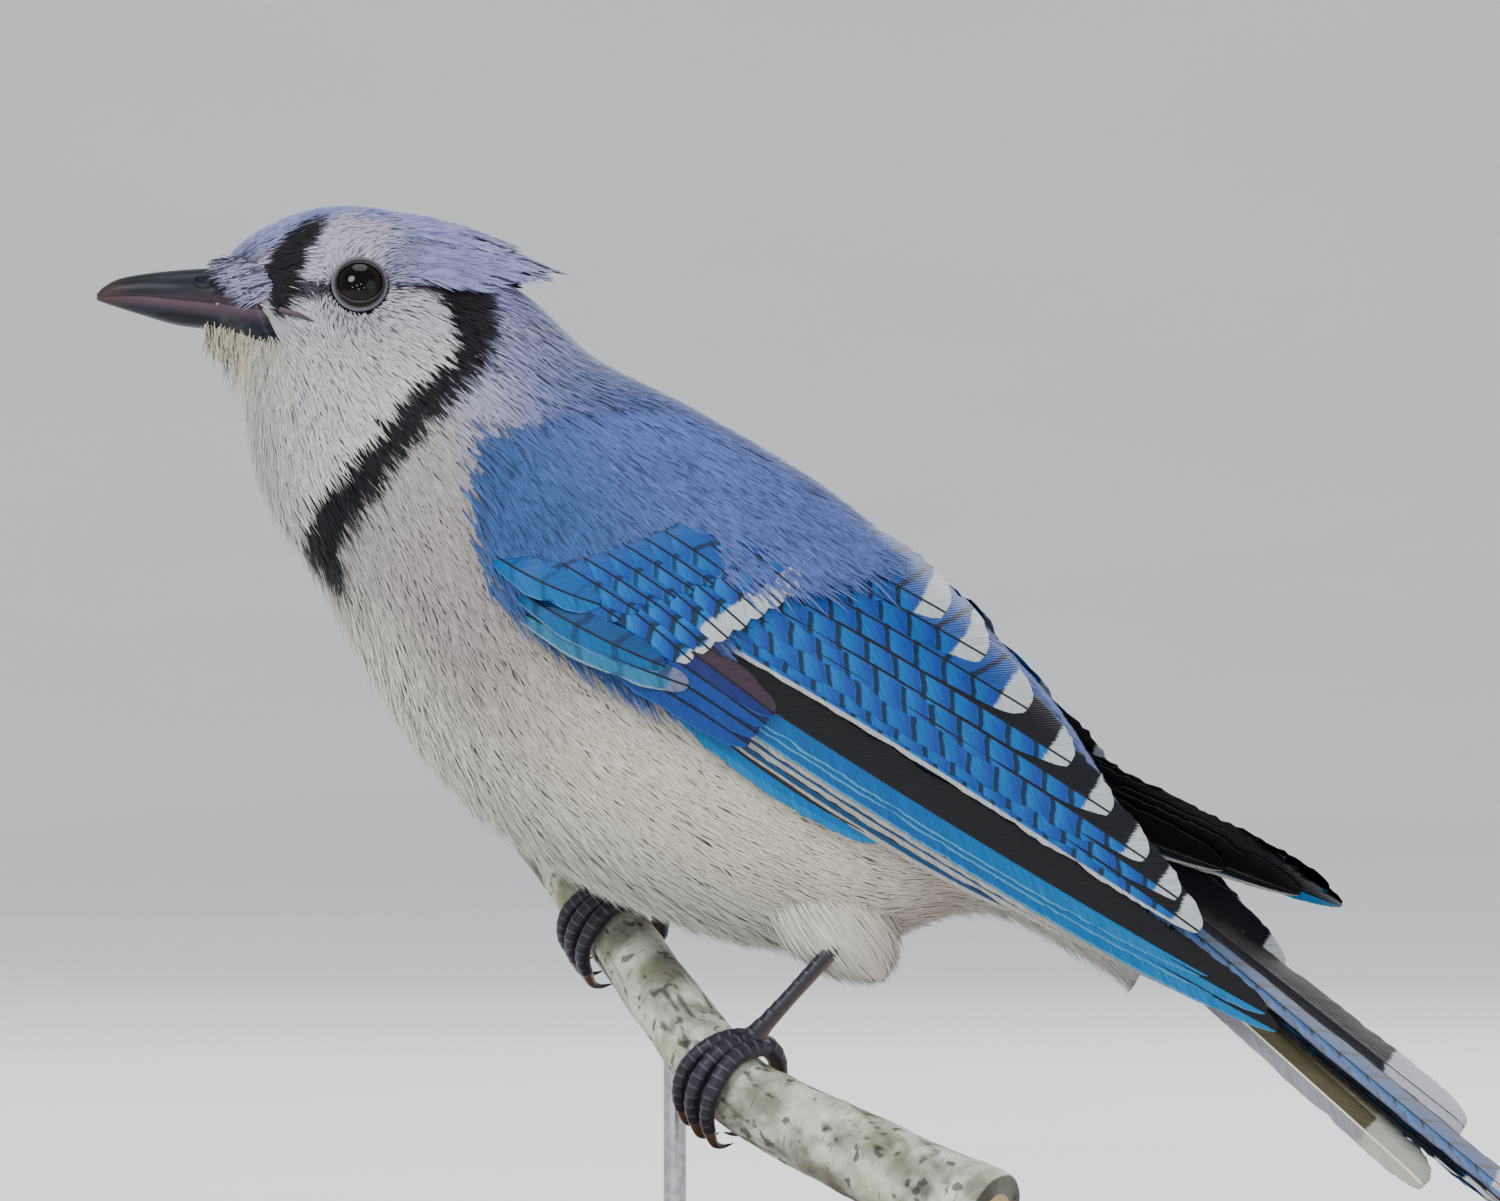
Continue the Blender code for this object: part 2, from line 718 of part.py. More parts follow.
def tail_vane(name, place):
    """Tail feather number place, 0 the near outermost and 11 the far outermost."""
    length = TAIL_LENGTHS[min(place, len(TAIL_SPREAD) - 1 - place)]
    lie = math.radians(TAIL_PITCH)
    axis = np.array([math.cos(lie), 0.0, -math.sin(lie)])
    lift = np.array([math.sin(lie), 0.0, math.cos(lie)])
    across = np.array([0.0, 1.0, 0.0])
    side, height, roll = TAIL_SPREAD[place]
    roll = math.radians(roll)
    root = np.array([TAIL_ROOT[0], 0.0, TAIL_ROOT[1]])
    wide = across * math.cos(roll) + lift * math.sin(roll)
    normal = -across * math.sin(roll) + lift * math.cos(roll)
    left = []
    right = []
    thick = []
    steps = 6
    narrow, broad = TAIL_HALF_WIDTHS
    for k in range(steps):
        t = TAIL_VANE_START + (1 - TAIL_VANE_START) * (1 - (1 - k / (steps - 1)) ** 1.4)
        spread = TAIL_GATHER + (1 - TAIL_GATHER) * t
        middle = root + axis * length * t + (across * side + lift * height) * spread
        width = narrow + (broad - narrow) * min(t / 0.7, 1.0)
        if t > 0.9:
            width *= math.sqrt(max(1 - ((t - 0.9) / 0.1) ** 2, 0.04))
        left.append(middle - wide * width)
        right.append(middle + wide * width)
        thick.append(VANE_ROOT + (VANE - VANE_ROOT) * t)
    return vane(name, np.array(left), np.array(right), np.array([normal] * steps), thick)


def tail(look):
    made = loft("tail", set_back(body_rings(TORSO_END, TAIL_CORE_END, TAIL_CORE_RINGS)))
    pieces = [tail_vane("rectrix", place) for place in range(len(TAIL_SPREAD))]
    combine(made, pieces, "UNION")
    finish(made, look)
    return made


def perch_at(at):
    x, y, z, radius = spline(PERCH, at)
    return np.array([x, y, z]), radius


def perch_frame(at):
    """Centre, radius and three axes of the branch: along it, to its side and up."""
    middle, radius = perch_at(at)
    ahead, _ = perch_at(at + 0.05)
    behind, _ = perch_at(at - 0.05)
    along = unit(ahead - behind)
    up = unit(np.array([0.0, 0.0, 1.0]) - along * along[2])
    side = np.cross(along, up)
    return middle, radius, along, side, up


def rod(name, at, swell, look=None):
    """Upright round rod from inside the base to inside the branch."""
    middle, _ = perch_at(at)
    reach = ROD_RADIUS + swell
    loops = []
    for z in (BASE_SIZE[2] - ROD_DEPTH - swell, middle[2] - 1.0 + swell):
        loop = []
        for k in range(ROD_SIDES):
            a = 2 * math.pi * k / ROD_SIDES
            loop.append((middle[0] + reach * math.cos(a), middle[1] + reach * math.sin(a), z))
        loops.append(np.array(loop))
    made = loft(name, loops)
    if look:
        finish(made, look)
    return made


def perch(look):
    loops = []
    draw = random.Random(SEED + 1)
    for k in range(PERCH_RINGS):
        middle, radius, along, side, up = perch_frame((len(PERCH) - 1) * k / (PERCH_RINGS - 1))
        loop = []
        for j in range(PERCH_SIDES):
            a = 2 * math.pi * j / PERCH_SIDES
            reach = radius + draw.uniform(-PERCH_WOBBLE, PERCH_WOBBLE)
            loop.append(middle + reach * (side * math.cos(a) + up * math.sin(a)))
        loops.append(np.array(loop))
    made = loft("perch", loops)
    combine(made, [rod("hole", at, GAP) for at in ROD_PERCH_SPOTS], "DIFFERENCE")
    finish(made, look)
    return made


def stand(look, rod_look):
    width, deep, high = BASE_SIZE
    points = []
    corner = 6
    for sx, sy, turn in ((1, 1, 0), (-1, 1, 90), (-1, -1, 180), (1, -1, 270)):
        for k in range(corner):
            a = math.radians(turn + 90 * k / (corner - 1))
            points.append((sx * (width / 2 - BASE_ROUND) + BASE_ROUND * math.cos(a),
                           sy * (deep / 2 - BASE_ROUND) + BASE_ROUND * math.sin(a)))
    loops = []
    for z, inset in ((0.0, 0.0), (high - BASE_BEVEL, 0.0), (high, BASE_BEVEL)):
        loops.append(np.array([(x * (1 - inset * 2 / width), y * (1 - inset * 2 / deep), z)
                               for x, y in points]))
    made = loft("stand_base", loops)
    combine(made, [rod("hole", at, GAP) for at in ROD_PERCH_SPOTS], "DIFFERENCE")
    finish(made, look)
    for at, name in zip(ROD_PERCH_SPOTS, ("stand_rod_inner", "stand_rod_outer")):
        rod(name, at, 0.0, rod_look)


def toe_path(at, spread, from_angle, to_angle, lift, fan=0.35):
    """Points that wrap round the branch, angles in degrees from its top to the front."""
    points = []
    steps = len(lift)
    for k in range(steps):
        t = k / (steps - 1)
        shift = spread * (fan + (1 - fan) * min(t * 1.6, 1.0))
        middle, radius, along, side, up = perch_frame(at)
        a = math.radians(from_angle + (to_angle - from_angle) * t)
        front = side if side[0] < 0 else -side
        reach = radius + lift[k] + GAP
        points.append(middle + along * shift + reach * (up * math.cos(a) + front * math.sin(a)))
    return points


def foot(name, which, look):
    """Toes that grip the branch, joined at a small pad above it."""
    at, ankle = FEET[which]
    pieces = []
    for spread, radius in FRONT_TOES:
        steps = 6
        path = toe_path(at, spread, -14.0, 128.0, [radius * 1.25] * steps)
        radii = [radius * (1.12 - 0.3 * k / (steps - 1)) for k in range(steps)]
        pieces.append(tube("toe", path, radii, TOE_SIDES))
    steps = 6
    path = toe_path(at, 0.0, 14.0, -118.0, [HIND_TOE_LIFT] * steps)
    radii = [HIND_TOE_RADIUS * (1.1 - 0.25 * k / (steps - 1)) for k in range(steps)]
    pieces.append(tube("hallux", path, radii, TOE_SIDES))
    top, toward = shank_line(which)
    shaft = SHANK_STUBS[which]
    made = tube(name, [top - toward * 0.6, top + toward * shaft * 0.45, top + toward * shaft],
                [1.9, 1.75, SHANK_RADIUS + 0.05], 10)
    combine(made, pieces, "UNION")
    finish(made, look)
    return made


def shank_line(which):
    """Top of the foot's pad and the direction from it to the ankle."""
    at, ankle = FEET[which]
    middle, radius, along, side, up = perch_frame(at)
    top = middle + up * (radius + PAD_HEIGHT)
    return top, unit(ankle - top)


def leg(name, which, look):
    """Bare lower leg from just above the foot up into the feathers of the thigh."""
    ankle = FEET[which][1]
    top, toward = shank_line(which)
    low = top + toward * (SHANK_STUBS[which] + GAP)
    path = [low * (1 - t) + (ankle + toward * 3.0) * t for t in (0.0, 0.5, 1.0)]
    made = tube(name, path, [SHANK_RADIUS, SHANK_RADIUS - 0.1, SHANK_RADIUS + 0.1], 10)
    combine(made, [thigh_form("cut", which, GAP), torso_form()], "DIFFERENCE")
    finish(made, look)
    return made


def thigh_form(name, which, swell):
    centre, radii, turn = THIGHS[which]
    return ellipsoid(name, centre, tuple(r + swell for r in radii), turn, 10, 14)


def thigh(name, which, look):
    made = thigh_form(name, which, 0.0)
    combine(made, [torso_form()], "DIFFERENCE")
    finish(made, look)
    return made


def claw(name, which, number, look):
    """Curved claw that goes on round the branch from the end of its toe."""
    at = FEET[which][0]
    if number < len(FRONT_TOES):
        spread, radius = FRONT_TOES[number]
        start, end, root = 134.0, 176.0, radius * 0.72
        lift = [radius * 1.25, radius * 1.5, radius * 1.9, radius * 1.7, radius * 1.2]
    else:
        spread = 0.0
        start, end, root = -125.0, -172.0, 1.0
        lift = [HIND_TOE_LIFT, 2.2, 2.5, 2.2, 1.6]
    steps = len(lift)
    path = toe_path(at, spread, start, end, lift, 1.0)
    radii = [root * (1 - 0.82 * (k / (steps - 1)) ** 1.3) for k in range(steps)]
    made = tube(name, path, radii, 8)
    finish(made, look)
    return made


def neck(look):
    made = loft("neck", set_back(body_rings(HEAD_END, NECK_END, NECK_RINGS)))
    finish(made, look)
    return made


def torso(look):
    made = loft("torso", set_back(body_rings(NECK_END, TORSO_END, TORSO_RINGS)))
    finish(made, look)
    return made


def build():
    clear_scene()
    head_look = material("feather_head", (0.55, 0.56, 0.72), 0.8)
    neck_look = material("feather_neck", (0.50, 0.50, 0.62), 0.8)
    body_look = material("feather_body", (0.72, 0.68, 0.64), 0.85)
    wing_look = material("feather_wing", (0.10, 0.25, 0.60), 0.6)
    tail_look = material("feather_tail", (0.18, 0.34, 0.66), 0.6)
    bill_look = material("bill", (0.03, 0.03, 0.04), 0.3)
    eye_look = material("eye", (0.01, 0.008, 0.006), 0.05)
    foot_look = material("foot", (0.05, 0.045, 0.06), 0.55)
    claw_look = material("claw", (0.03, 0.025, 0.025), 0.35)
    bark_look = material("bark", (0.36, 0.36, 0.31), 0.85)
    base_look = material("stand_wood", (0.32, 0.20, 0.11), 0.5)
    rod_look = material("stand_metal", (0.6, 0.6, 0.62), 0.3, 1.0)

    head(head_look)
    neck(neck_look)
    torso(body_look)
    tail(tail_look)
    bill_half("bill_upper", True, bill_look)
    bill_half("bill_lower", False, bill_look)
    eye("eye_left", -1, eye_look)
    eye("eye_right", 1, eye_look)
    wing("wing_left", -1, 0.0, wing_look)
    wing("wing_right", 1, FAR_WING_TURN, wing_look)
    for which in ("left", "right"):
        thigh("thigh_" + which, which, body_look)
        leg("tarsus_" + which, which, foot_look)
        foot("foot_" + which, which, foot_look)
        for number in range(4):
            claw("claw_%s_%d" % (which, number + 1), which, number, claw_look)
    perch(bark_look)
    stand(base_look, rod_look)


build()
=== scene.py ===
"""A perching jay on a cut branch and a small stand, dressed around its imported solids.

Sizes are in millimetres until a mesh is made. The bird faces -X and its left side faces -Y.
"""

import json
import math

import bmesh
import bpy
import mathutils
import numpy as np
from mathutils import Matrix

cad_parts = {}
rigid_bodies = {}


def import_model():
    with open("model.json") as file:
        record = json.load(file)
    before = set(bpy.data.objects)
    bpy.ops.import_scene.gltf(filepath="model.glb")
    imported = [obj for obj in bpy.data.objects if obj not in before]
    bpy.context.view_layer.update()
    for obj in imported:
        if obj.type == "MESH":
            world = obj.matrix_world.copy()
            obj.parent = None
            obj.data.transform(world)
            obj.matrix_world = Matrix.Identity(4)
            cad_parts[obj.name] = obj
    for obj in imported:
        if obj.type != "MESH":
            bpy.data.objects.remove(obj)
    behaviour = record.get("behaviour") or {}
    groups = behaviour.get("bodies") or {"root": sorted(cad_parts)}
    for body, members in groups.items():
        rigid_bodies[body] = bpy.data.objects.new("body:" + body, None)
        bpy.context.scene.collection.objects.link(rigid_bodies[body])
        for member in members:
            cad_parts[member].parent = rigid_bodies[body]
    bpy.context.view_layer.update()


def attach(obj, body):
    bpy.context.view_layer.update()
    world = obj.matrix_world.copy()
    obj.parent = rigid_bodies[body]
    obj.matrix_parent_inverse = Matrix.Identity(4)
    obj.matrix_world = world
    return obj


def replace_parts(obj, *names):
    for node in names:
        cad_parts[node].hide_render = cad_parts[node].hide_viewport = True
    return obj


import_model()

MM = 0.001
SEED = 11
draw = np.random.default_rng(SEED)

# Body outline in profile, from the bill back to the tail.
# Each row: back point x, z, belly point x, z, half width
BODY = np.array([
    (-77.0, 158.1, -77.0, 149.2, 4.4),
    (-70.5, 163.4, -74.0, 146.8, 8.6),
    (-61.5, 166.6, -72.9, 140.5, 11.6),
    (-50.5, 165.7, -71.9, 134.0, 13.6),
    (-40.5, 159.5, -70.6, 128.0, 14.8),
    (-31.2, 152.8, -67.8, 122.0, 16.5),
    (-23.0, 145.2, -62.5, 115.0, 19.5),
    (-11.3, 139.2, -56.0, 103.0, 22.5),
    (0.0, 132.9, -48.5, 90.5, 24.5),
    (10.0, 126.6, -37.0, 79.0, 25.5),
    (19.5, 118.8, -20.5, 69.3, 25.0),
    (28.0, 111.2, -2.5, 63.2, 23.0),
    (35.5, 103.6, 13.0, 62.0, 19.5),
    (42.0, 96.0, 25.0, 66.5, 15.5),
    (47.5, 87.5, 34.0, 67.0, 12.5),
    (53.0, 78.0, 43.5, 62.5, 10.0),
    (59.0, 68.0, 52.5, 56.8, 7.5),
])
FULLNESS = 2.15

# Broad smooth form that the folded wings lie on, in the same columns as the body
WING_FORM = np.array([
    (-36.0, 156.0, -82.0, 112.0, 17.5),
    (-20.0, 147.0, -74.0, 102.0, 21.5),
    (-3.0, 137.0, -60.0, 88.0, 25.0),
    (13.0, 126.0, -40.0, 70.0, 26.5),
    (29.0, 112.0, -14.0, 56.0, 24.5),
    (45.0, 97.0, 14.0, 46.0, 19.0),
    (62.0, 83.0, 40.0, 38.0, 14.0),
    (80.0, 70.0, 62.0, 32.0, 11.0),
    (98.0, 56.0, 84.0, 24.0, 10.0),
])
BACK_THINNING = 5.0
LEAST_REACH = 0.9
WING_BEND = np.array((-38.7, 123.9))
FAR_WING_TURN = 8.5
SHOULDER_CENTRE = np.array((-15.0, 117.5))
SHOULDER_HALVES = (25.0, 15.5)
SHOULDER_TILT = -25.0
SHOULDER_RISE = 5.3
SHOULDER_RIM = 0.8

EYE_CENTRE = np.array((-56.1, 155.7))
EYE_RADIUS = 4.4
EYE_OPENING = 3.5
EYE_SINK = 0.2


# Colours

def srgb(red, green, blue):
    """Linear colour of a screen colour given from 0 to 255."""
    value = np.array((red, green, blue)) / 255.0
    return np.where(value <= 0.04045, value / 12.92, ((value + 0.055) / 1.055) ** 2.4)


CROWN = srgb(136, 142, 190)
CREST = srgb(142, 142, 184)
BROW = srgb(196, 193, 210)
FOREHEAD = srgb(160, 164, 205)
CHEEK = srgb(200, 197, 204)
THROAT = srgb(212, 212, 210)
CHIN = srgb(196, 184, 140)
COAT_BLACK = srgb(14, 13, 20)
LORE = srgb(72, 65, 75)
NECK = srgb(166, 165, 184)
NAPE = srgb(148, 150, 182)
MANTLE = srgb(92, 106, 158)
SHOULDER = srgb(70, 94, 142)
RUMP = srgb(96, 118, 180)
BREAST = srgb(172, 165, 165)
BREAST_SIDE = srgb(172, 163, 160)
BELLY = srgb(226, 219, 204)
BELLY_EDGE = srgb(224, 224, 212)
VENT = srgb(214, 202, 192)
TAIL_COVERT = srgb(222, 222, 218)
CREST_TIP = srgb(186, 184, 220)
BRISTLE = srgb(154, 151, 182)
BRISTLE_DARK = srgb(50, 48, 66)
CHIN_HAIR = srgb(206, 200, 176)


# Curves and forms

def smooth(value, low, high):
    """Smooth step from 0 at low to 1 at high."""
    t = np.clip((value - low) / (high - low), 0.0, 1.0)
    return t * t * (3 - 2 * t)


def spline(rows, at):
    """Catmull-Rom values of a table of rows at an array of fractional row numbers."""
    rows = np.asarray(rows, dtype=float)
    at = np.asarray(at, dtype=float)
    last = len(rows) - 1
    here = np.clip(np.floor(at).astype(int), 0, last - 1)
    t = (at - here)[..., None]
    padded = np.vstack([2 * rows[0] - rows[1], rows, 2 * rows[last] - rows[last - 1]])
    before = padded[here]
    a = padded[here + 1]
    b = padded[here + 2]
    after = padded[here + 3]
    return 0.5 * (2 * a + (b - before) * t + (2 * before - 5 * a + 4 * b - after) * t ** 2
                  + (3 * a - before - 3 * b + after) * t ** 3)


def unit(vectors):
    return vectors / np.maximum(np.linalg.norm(vectors, axis=-1, keepdims=True), 1e-9)


def section(table, at, angle, swell=0.0):
    """Points of a lofted form: angle 0 is the back, a quarter turn the left side."""
    row = spline(table, at)
    c = np.cos(angle)
    s = np.sin(angle)
    along = np.copysign(np.abs(c) ** (2 / FULLNESS), c)
    across = np.copysign(np.abs(s) ** (2 / FULLNESS), s)
    middle_x = (row[..., 0] + row[..., 2]) / 2
    middle_z = (row[..., 1] + row[..., 3]) / 2
    up_x = (row[..., 0] - row[..., 2]) / 2
    up_z = (row[..., 1] - row[..., 3]) / 2
    reach = np.hypot(up_x, up_z)
    x = middle_x + up_x / reach * along * (reach + swell)
    z = middle_z + up_z / reach * along * (reach + swell)
    y = -across * (row[..., 4] + swell)
    return np.stack([x, y, z], axis=-1)


def locate(table, points):
    """Row number, fraction down from the back and half width at profile points."""
    dense = spline(table, np.linspace(0, len(table) - 1, 24 * (len(table) - 1) + 1))
    back = dense[:, 0:2]
    span = dense[:, 2:4] - back
    offset = points[:, None, :] - back[None]
    turn = span[None, :, 0] * offset[..., 1] - span[None, :, 1] * offset[..., 0]
    change = np.signbit(turn[:, :-1]) != np.signbit(turn[:, 1:])
    nearest = np.argmin(np.abs(turn), axis=1)
    first = np.where(change.any(axis=1), np.argmax(change, axis=1), np.minimum(nearest, len(dense) - 2))
    pick = np.arange(len(points))
    here = turn[pick, first]
    there = turn[pick, first + 1]
    part = np.where(change.any(axis=1), here / np.where(here == there, 1.0, here - there), 0.0)
    part = np.clip(part, 0.0, 1.0)[:, None]
    row = dense[first] * (1 - part) + dense[first + 1] * part
    line = row[:, 2:4] - row[:, 0:2]
    down = ((points - row[:, 0:2]) * line).sum(axis=1) / (line * line).sum(axis=1)
    return (first + part[:, 0]) / 24, down, row[:, 4]


def depth(table, points):
    """Half width of a lofted form at profile points."""
    _, down, half = locate(table, points)
    c = np.abs(1 - 2 * np.clip(down, 0.0, 1.0)) ** FULLNESS
    return half * np.maximum(1 - c, 0.0) ** (1 / FULLNESS)


def turned(points, degrees):
    """Profile points turned about the bend of the wing."""
    c = math.cos(math.radians(degrees))
    s = math.sin(math.radians(degrees))
    offset = points - WING_BEND
    return WING_BEND + offset @ np.array(((c, s), (-s, c)))


def dome(points, turn):
    """Height of the shoulder's domed oval over the flank."""
    angle = math.radians(SHOULDER_TILT + turn)
    axis = np.array((math.cos(angle), math.sin(angle)))
    cross = np.array((-axis[1], axis[0]))
    offset = points - turned(SHOULDER_CENTRE, turn)
    reach = np.hypot(offset @ axis / SHOULDER_HALVES[0], offset @ cross / SHOULDER_HALVES[1])
    return SHOULDER_RIM + (SHOULDER_RISE - SHOULDER_RIM) * np.maximum(1 - reach ** 2.6, 0.0) ** 0.7


def on_flank(points, side, height):
    """Points of a wing at a height over the flank, which thins towards the back's middle."""
    flank = depth(WING_FORM, points)
    reach = np.maximum(flank + height * flank / (flank + BACK_THINNING), LEAST_REACH)
    return np.stack([points[:, 0], side * reach, points[:, 1]], axis=1)


def near_line(points, line, widths):
    """Signed distance of profile points from a line of changing half width."""
    line = np.asarray(line, dtype=float)
    best = np.full(len(points), 1e9)
    for k in range(len(line) - 1):
        run = line[k + 1] - line[k]
        t = np.clip(((points - line[k]) @ run) / (run @ run), 0.0, 1.0)
        gap = np.linalg.norm(points - (line[k] + t[:, None] * run), axis=1)
        best = np.minimum(best, gap - (widths[k] * (1 - t) + widths[k + 1] * t))
    return best


def inside(points, polygon):
    """Which profile points lie in a polygon."""
    polygon = np.asarray(polygon, dtype=float)
    held = np.zeros(len(points), dtype=bool)
    for k in range(len(polygon)):
        ax, az = polygon[k]
        bx, bz = polygon[k - 1]
        crosses = (az > points[:, 1]) != (bz > points[:, 1])
        height = (bx - ax) * (points[:, 1] - az) / np.where(bz == az, 1e-9, bz - az) + ax
        held ^= crosses & (points[:, 0] < height)
    return held


# Markings

COLLAR_LINE = ((-52.4, 155.4), (-46.5, 155.0), (-43.7, 154.3), (-40.0, 151.7), (-39.4, 147.1),
    (-41.4, 142.7), (-46.5, 138.6), (-50.1, 134.3), (-54.4, 128.6), (-59.2, 123.0),
    (-61.1, 117.4), (-59.0, 112.6))
COLLAR_WIDTHS = (0.3, 0.5, 1.5, 3.4, 2.9, 2.3, 2.9, 2.4, 2.7, 3.3, 2.9, 1.0)
BRIDLE_LINE = ((-66.8, 152.3), (-66.8, 156.0), (-66.1, 158.8), (-65.2, 161.0), (-63.2, 163.0),
    (-61.7, 164.4))
BRIDLE_WIDTHS = (1.6, 2.8, 2.8, 2.2, 1.7, 0.8)
LORE_LINE = ((-64.8, 154.6), (-61.7, 154.7), (-59.4, 154.8))
LORE_WIDTHS = (1.3, 1.0, 0.7)
SPECK_LINE = ((-73.8, 158.8), (-71.5, 160.5), (-70.1, 159.4))
SPECK_WIDTHS = (0.5, 0.7, 0.4)
UNDER_EYE_LINE = ((-59.4, 153.0), (-57.5, 151.7), (-54.9, 151.7))
UNDER_EYE_WIDTHS = (0.15, 0.3, 0.15)
CROWN_EDGE = ((-79.4, 158.8), (-73.2, 158.8), (-64.8, 161.9), (-61.3, 164.6), (-57.7, 165.8),
    (-50.7, 164.4), (-46.2, 161.0), (-43.4, 157.4), (-40.8, 154.0), (-28.2, 149.2))
UPPER_EDGE = ((0.0, 0.30), (4.0, 0.34), (6.0, 0.42), (8.0, 0.46), (10.0, 0.5), (13.0, 0.46), (16.0, 0.4))


def blend(base, colour, weight):
    return base * (1 - weight[:, None]) + colour * weight[:, None]


def plumage(points, jag):
    """Colour of the small feathers at 3-D points; jag shifts the edges of the markings."""
    profile = points[:, (0, 2)]
    x, z = profile.T
    at, down, _ = locate(BODY, profile)
    edge = np.interp(at, *np.array(UPPER_EDGE).T) + 0.04 * jag
    upper = blend(np.tile(NAPE, (len(x), 1)), MANTLE, smooth(at, 5.0, 7.0))
    upper = blend(upper, RUMP, smooth(at, 10.5, 12.5))
    upper = blend(upper, NECK, smooth(down, 0.14, 0.32) * (1 - smooth(at, 5.4, 6.8)))
    under = blend(np.tile(BREAST, (len(x), 1)), BREAST_SIDE, smooth(at, 6.0, 8.0))
    under = blend(under, BELLY, smooth(at, 7.6, 9.6) * smooth(down, 0.45, 0.75))
    under = blend(under, BELLY, smooth(at, 8.8, 10.6))
    under = blend(under, BELLY_EDGE, smooth(down, 0.8, 0.97) * smooth(at, 5.8, 7.2))
    under = blend(under, VENT, smooth(at, 11.4, 12.6) * (1 - smooth(at, 13.0, 14.0)))
    under = blend(under, TAIL_COVERT, smooth(at, 13.2, 14.4))
    colour = blend(upper, under, smooth(down, edge - 0.06, edge + 0.1))
    # The face, back to the collar
    in_front = near_line(profile, COLLAR_LINE, COLLAR_WIDTHS)
    front_x = np.interp(z, *np.array(COLLAR_LINE)[::-1, ::-1].T)
    face = (1 - smooth(x - front_x, -1.0, 0.6)) * smooth(z, 112.0, 113.0)
    face = np.maximum(face, 1 - smooth(at, 2.9, 3.4))
    cheek = blend(np.tile(CHEEK, (len(x), 1)), THROAT, smooth(154 - z, 4.0, 14.0))
    cheek = blend(cheek, CHIN, (1 - smooth(np.hypot(x + 76.5, z - 147.5), 1.5, 6.0)) * 0.8)
    cheek = blend(cheek, BROW, smooth(z, 154.6, 157.0))
    colour = blend(colour, cheek, face)
    crown_z = np.interp(x, *np.array(CROWN_EDGE).T)
    crown = smooth(z - crown_z, -0.9 + 0.5 * jag, 0.7 + 0.5 * jag) * (at < 5.2)
    colour = blend(colour, CROWN, crown)
    fore = crown * (1 - smooth(x, -66.5, -62.0))
    colour = blend(colour, FOREHEAD, fore * 0.8)
    back_of_head = crown * smooth(x, -48.0, -38.0)
    colour = blend(colour, CREST, back_of_head)
    speck = near_line(profile, SPECK_LINE, SPECK_WIDTHS)
    colour = blend(colour, COAT_BLACK, 0.6 * (1 - smooth(speck + 0.5 * jag, -0.2, 0.7)))
    lore = near_line(profile, LORE_LINE, LORE_WIDTHS)
    colour = blend(colour, LORE, 1 - smooth(lore + 0.4 * jag, -0.3, 0.9))
    under_eye = near_line(profile, UNDER_EYE_LINE, UNDER_EYE_WIDTHS)
    colour = blend(colour, LORE, 0.7 * (1 - smooth(under_eye + 0.1 * jag, -0.1, 0.35)))
    bridle = near_line(profile, BRIDLE_LINE, BRIDLE_WIDTHS)
    colour = blend(colour, COAT_BLACK, 1 - smooth(bridle + 0.35 * jag, -0.35, 0.25))
    collar = in_front + 0.36 * jag
    colour = blend(colour, COAT_BLACK, 1 - smooth(collar, -0.5, 0.35))
    return colour


# Meshes

def make_object(name, points, triangles, look, smooth_faces=True):
    """Mesh piece on the root body, from points in millimetres and triangles."""
    mesh = bpy.data.meshes.new(name)
    mesh.vertices.add(len(points))
    mesh.vertices.foreach_set("co", np.ascontiguousarray(points * MM, dtype=np.float32).ravel())
    mesh.loops.add(len(triangles) * 3)
    mesh.loops.foreach_set("vertex_index", np.ascontiguousarray(triangles, dtype=np.int32).ravel())
    mesh.polygons.add(len(triangles))
    mesh.polygons.foreach_set("loop_start", np.arange(0, 3 * len(triangles), 3, dtype=np.int32))
    mesh.update(calc_edges=True)
    if smooth_faces:
        mesh.shade_smooth()
    mesh.materials.append(look)
    made = bpy.data.objects.new(name, mesh)
    bpy.context.scene.collection.objects.link(made)
    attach(made, "root")
    return made


def set_colours(made, colours, name="plumage"):
    layer = made.data.color_attributes.new(name, "FLOAT_COLOR", "POINT")
    flat = np.ones((len(colours), 4), dtype=np.float32)
    flat[:, :3] = np.clip(colours, 0.0, 1.0)
    layer.data.foreach_set("color", flat.ravel())


def set_vectors(made, vectors, name):
    layer = made.data.attributes.new(name, "FLOAT_VECTOR", "POINT")
    layer.data.foreach_set("vector", np.ascontiguousarray(vectors, dtype=np.float32).ravel())


def set_bake_map(made, corners):
    """OFBake map from one spot for each vertex."""
    layer = made.data.uv_layers.new(name="OFBake")
    index = np.zeros(len(made.data.loops), dtype=np.int32)
    made.data.loops.foreach_get("vertex_index", index)
    layer.data.foreach_set("uv", np.ascontiguousarray(corners[index], dtype=np.float32).ravel())


def grid_triangles(rows, columns, wrap=False, flip=False):
    """Triangles of a grid of points, wrapped across its columns if asked."""
    last = columns if wrap else columns - 1
    row = np.arange(rows - 1)[:, None]
    column = np.arange(last)[None, :]
    a = row * columns + column
    b = row * columns + (column + 1) % columns
    c = b + columns
    d = a + columns
    faces = np.concatenate([np.stack([a, b, c], -1).reshape(-1, 3),
                            np.stack([a, c, d], -1).reshape(-1, 3)])
    return faces[:, ::-1] if flip else faces


def capped(rings):
    """Points and triangles of a closed tube over an array of rings."""
    count, sides, _ = rings.shape
    points = np.vstack([rings.reshape(-1, 3), rings[0].mean(axis=0), rings[-1].mean(axis=0)])
    faces = [grid_triangles(count, sides, wrap=True)]
    k = np.arange(sides)
    after = (k + 1) % sides
    start = (count - 1) * sides
    faces.append(np.stack([np.full(sides, count * sides), after, k], -1))
    faces.append(np.stack([np.full(sides, count * sides + 1), start + k, start + after], -1))
    return points, np.concatenate(faces)


# Coat

PATCH = 0.003
PIECE_LIMIT = 190000
BODY_SOFTNESS = 0.72
HEAD_DENSITY = 11.0
BODY_DENSITY = 3.6
SHOULDER_DENSITY = 11.0
# Parts of the body that lie under the wings need few feathers
HIDDEN_SHARE = 0.15


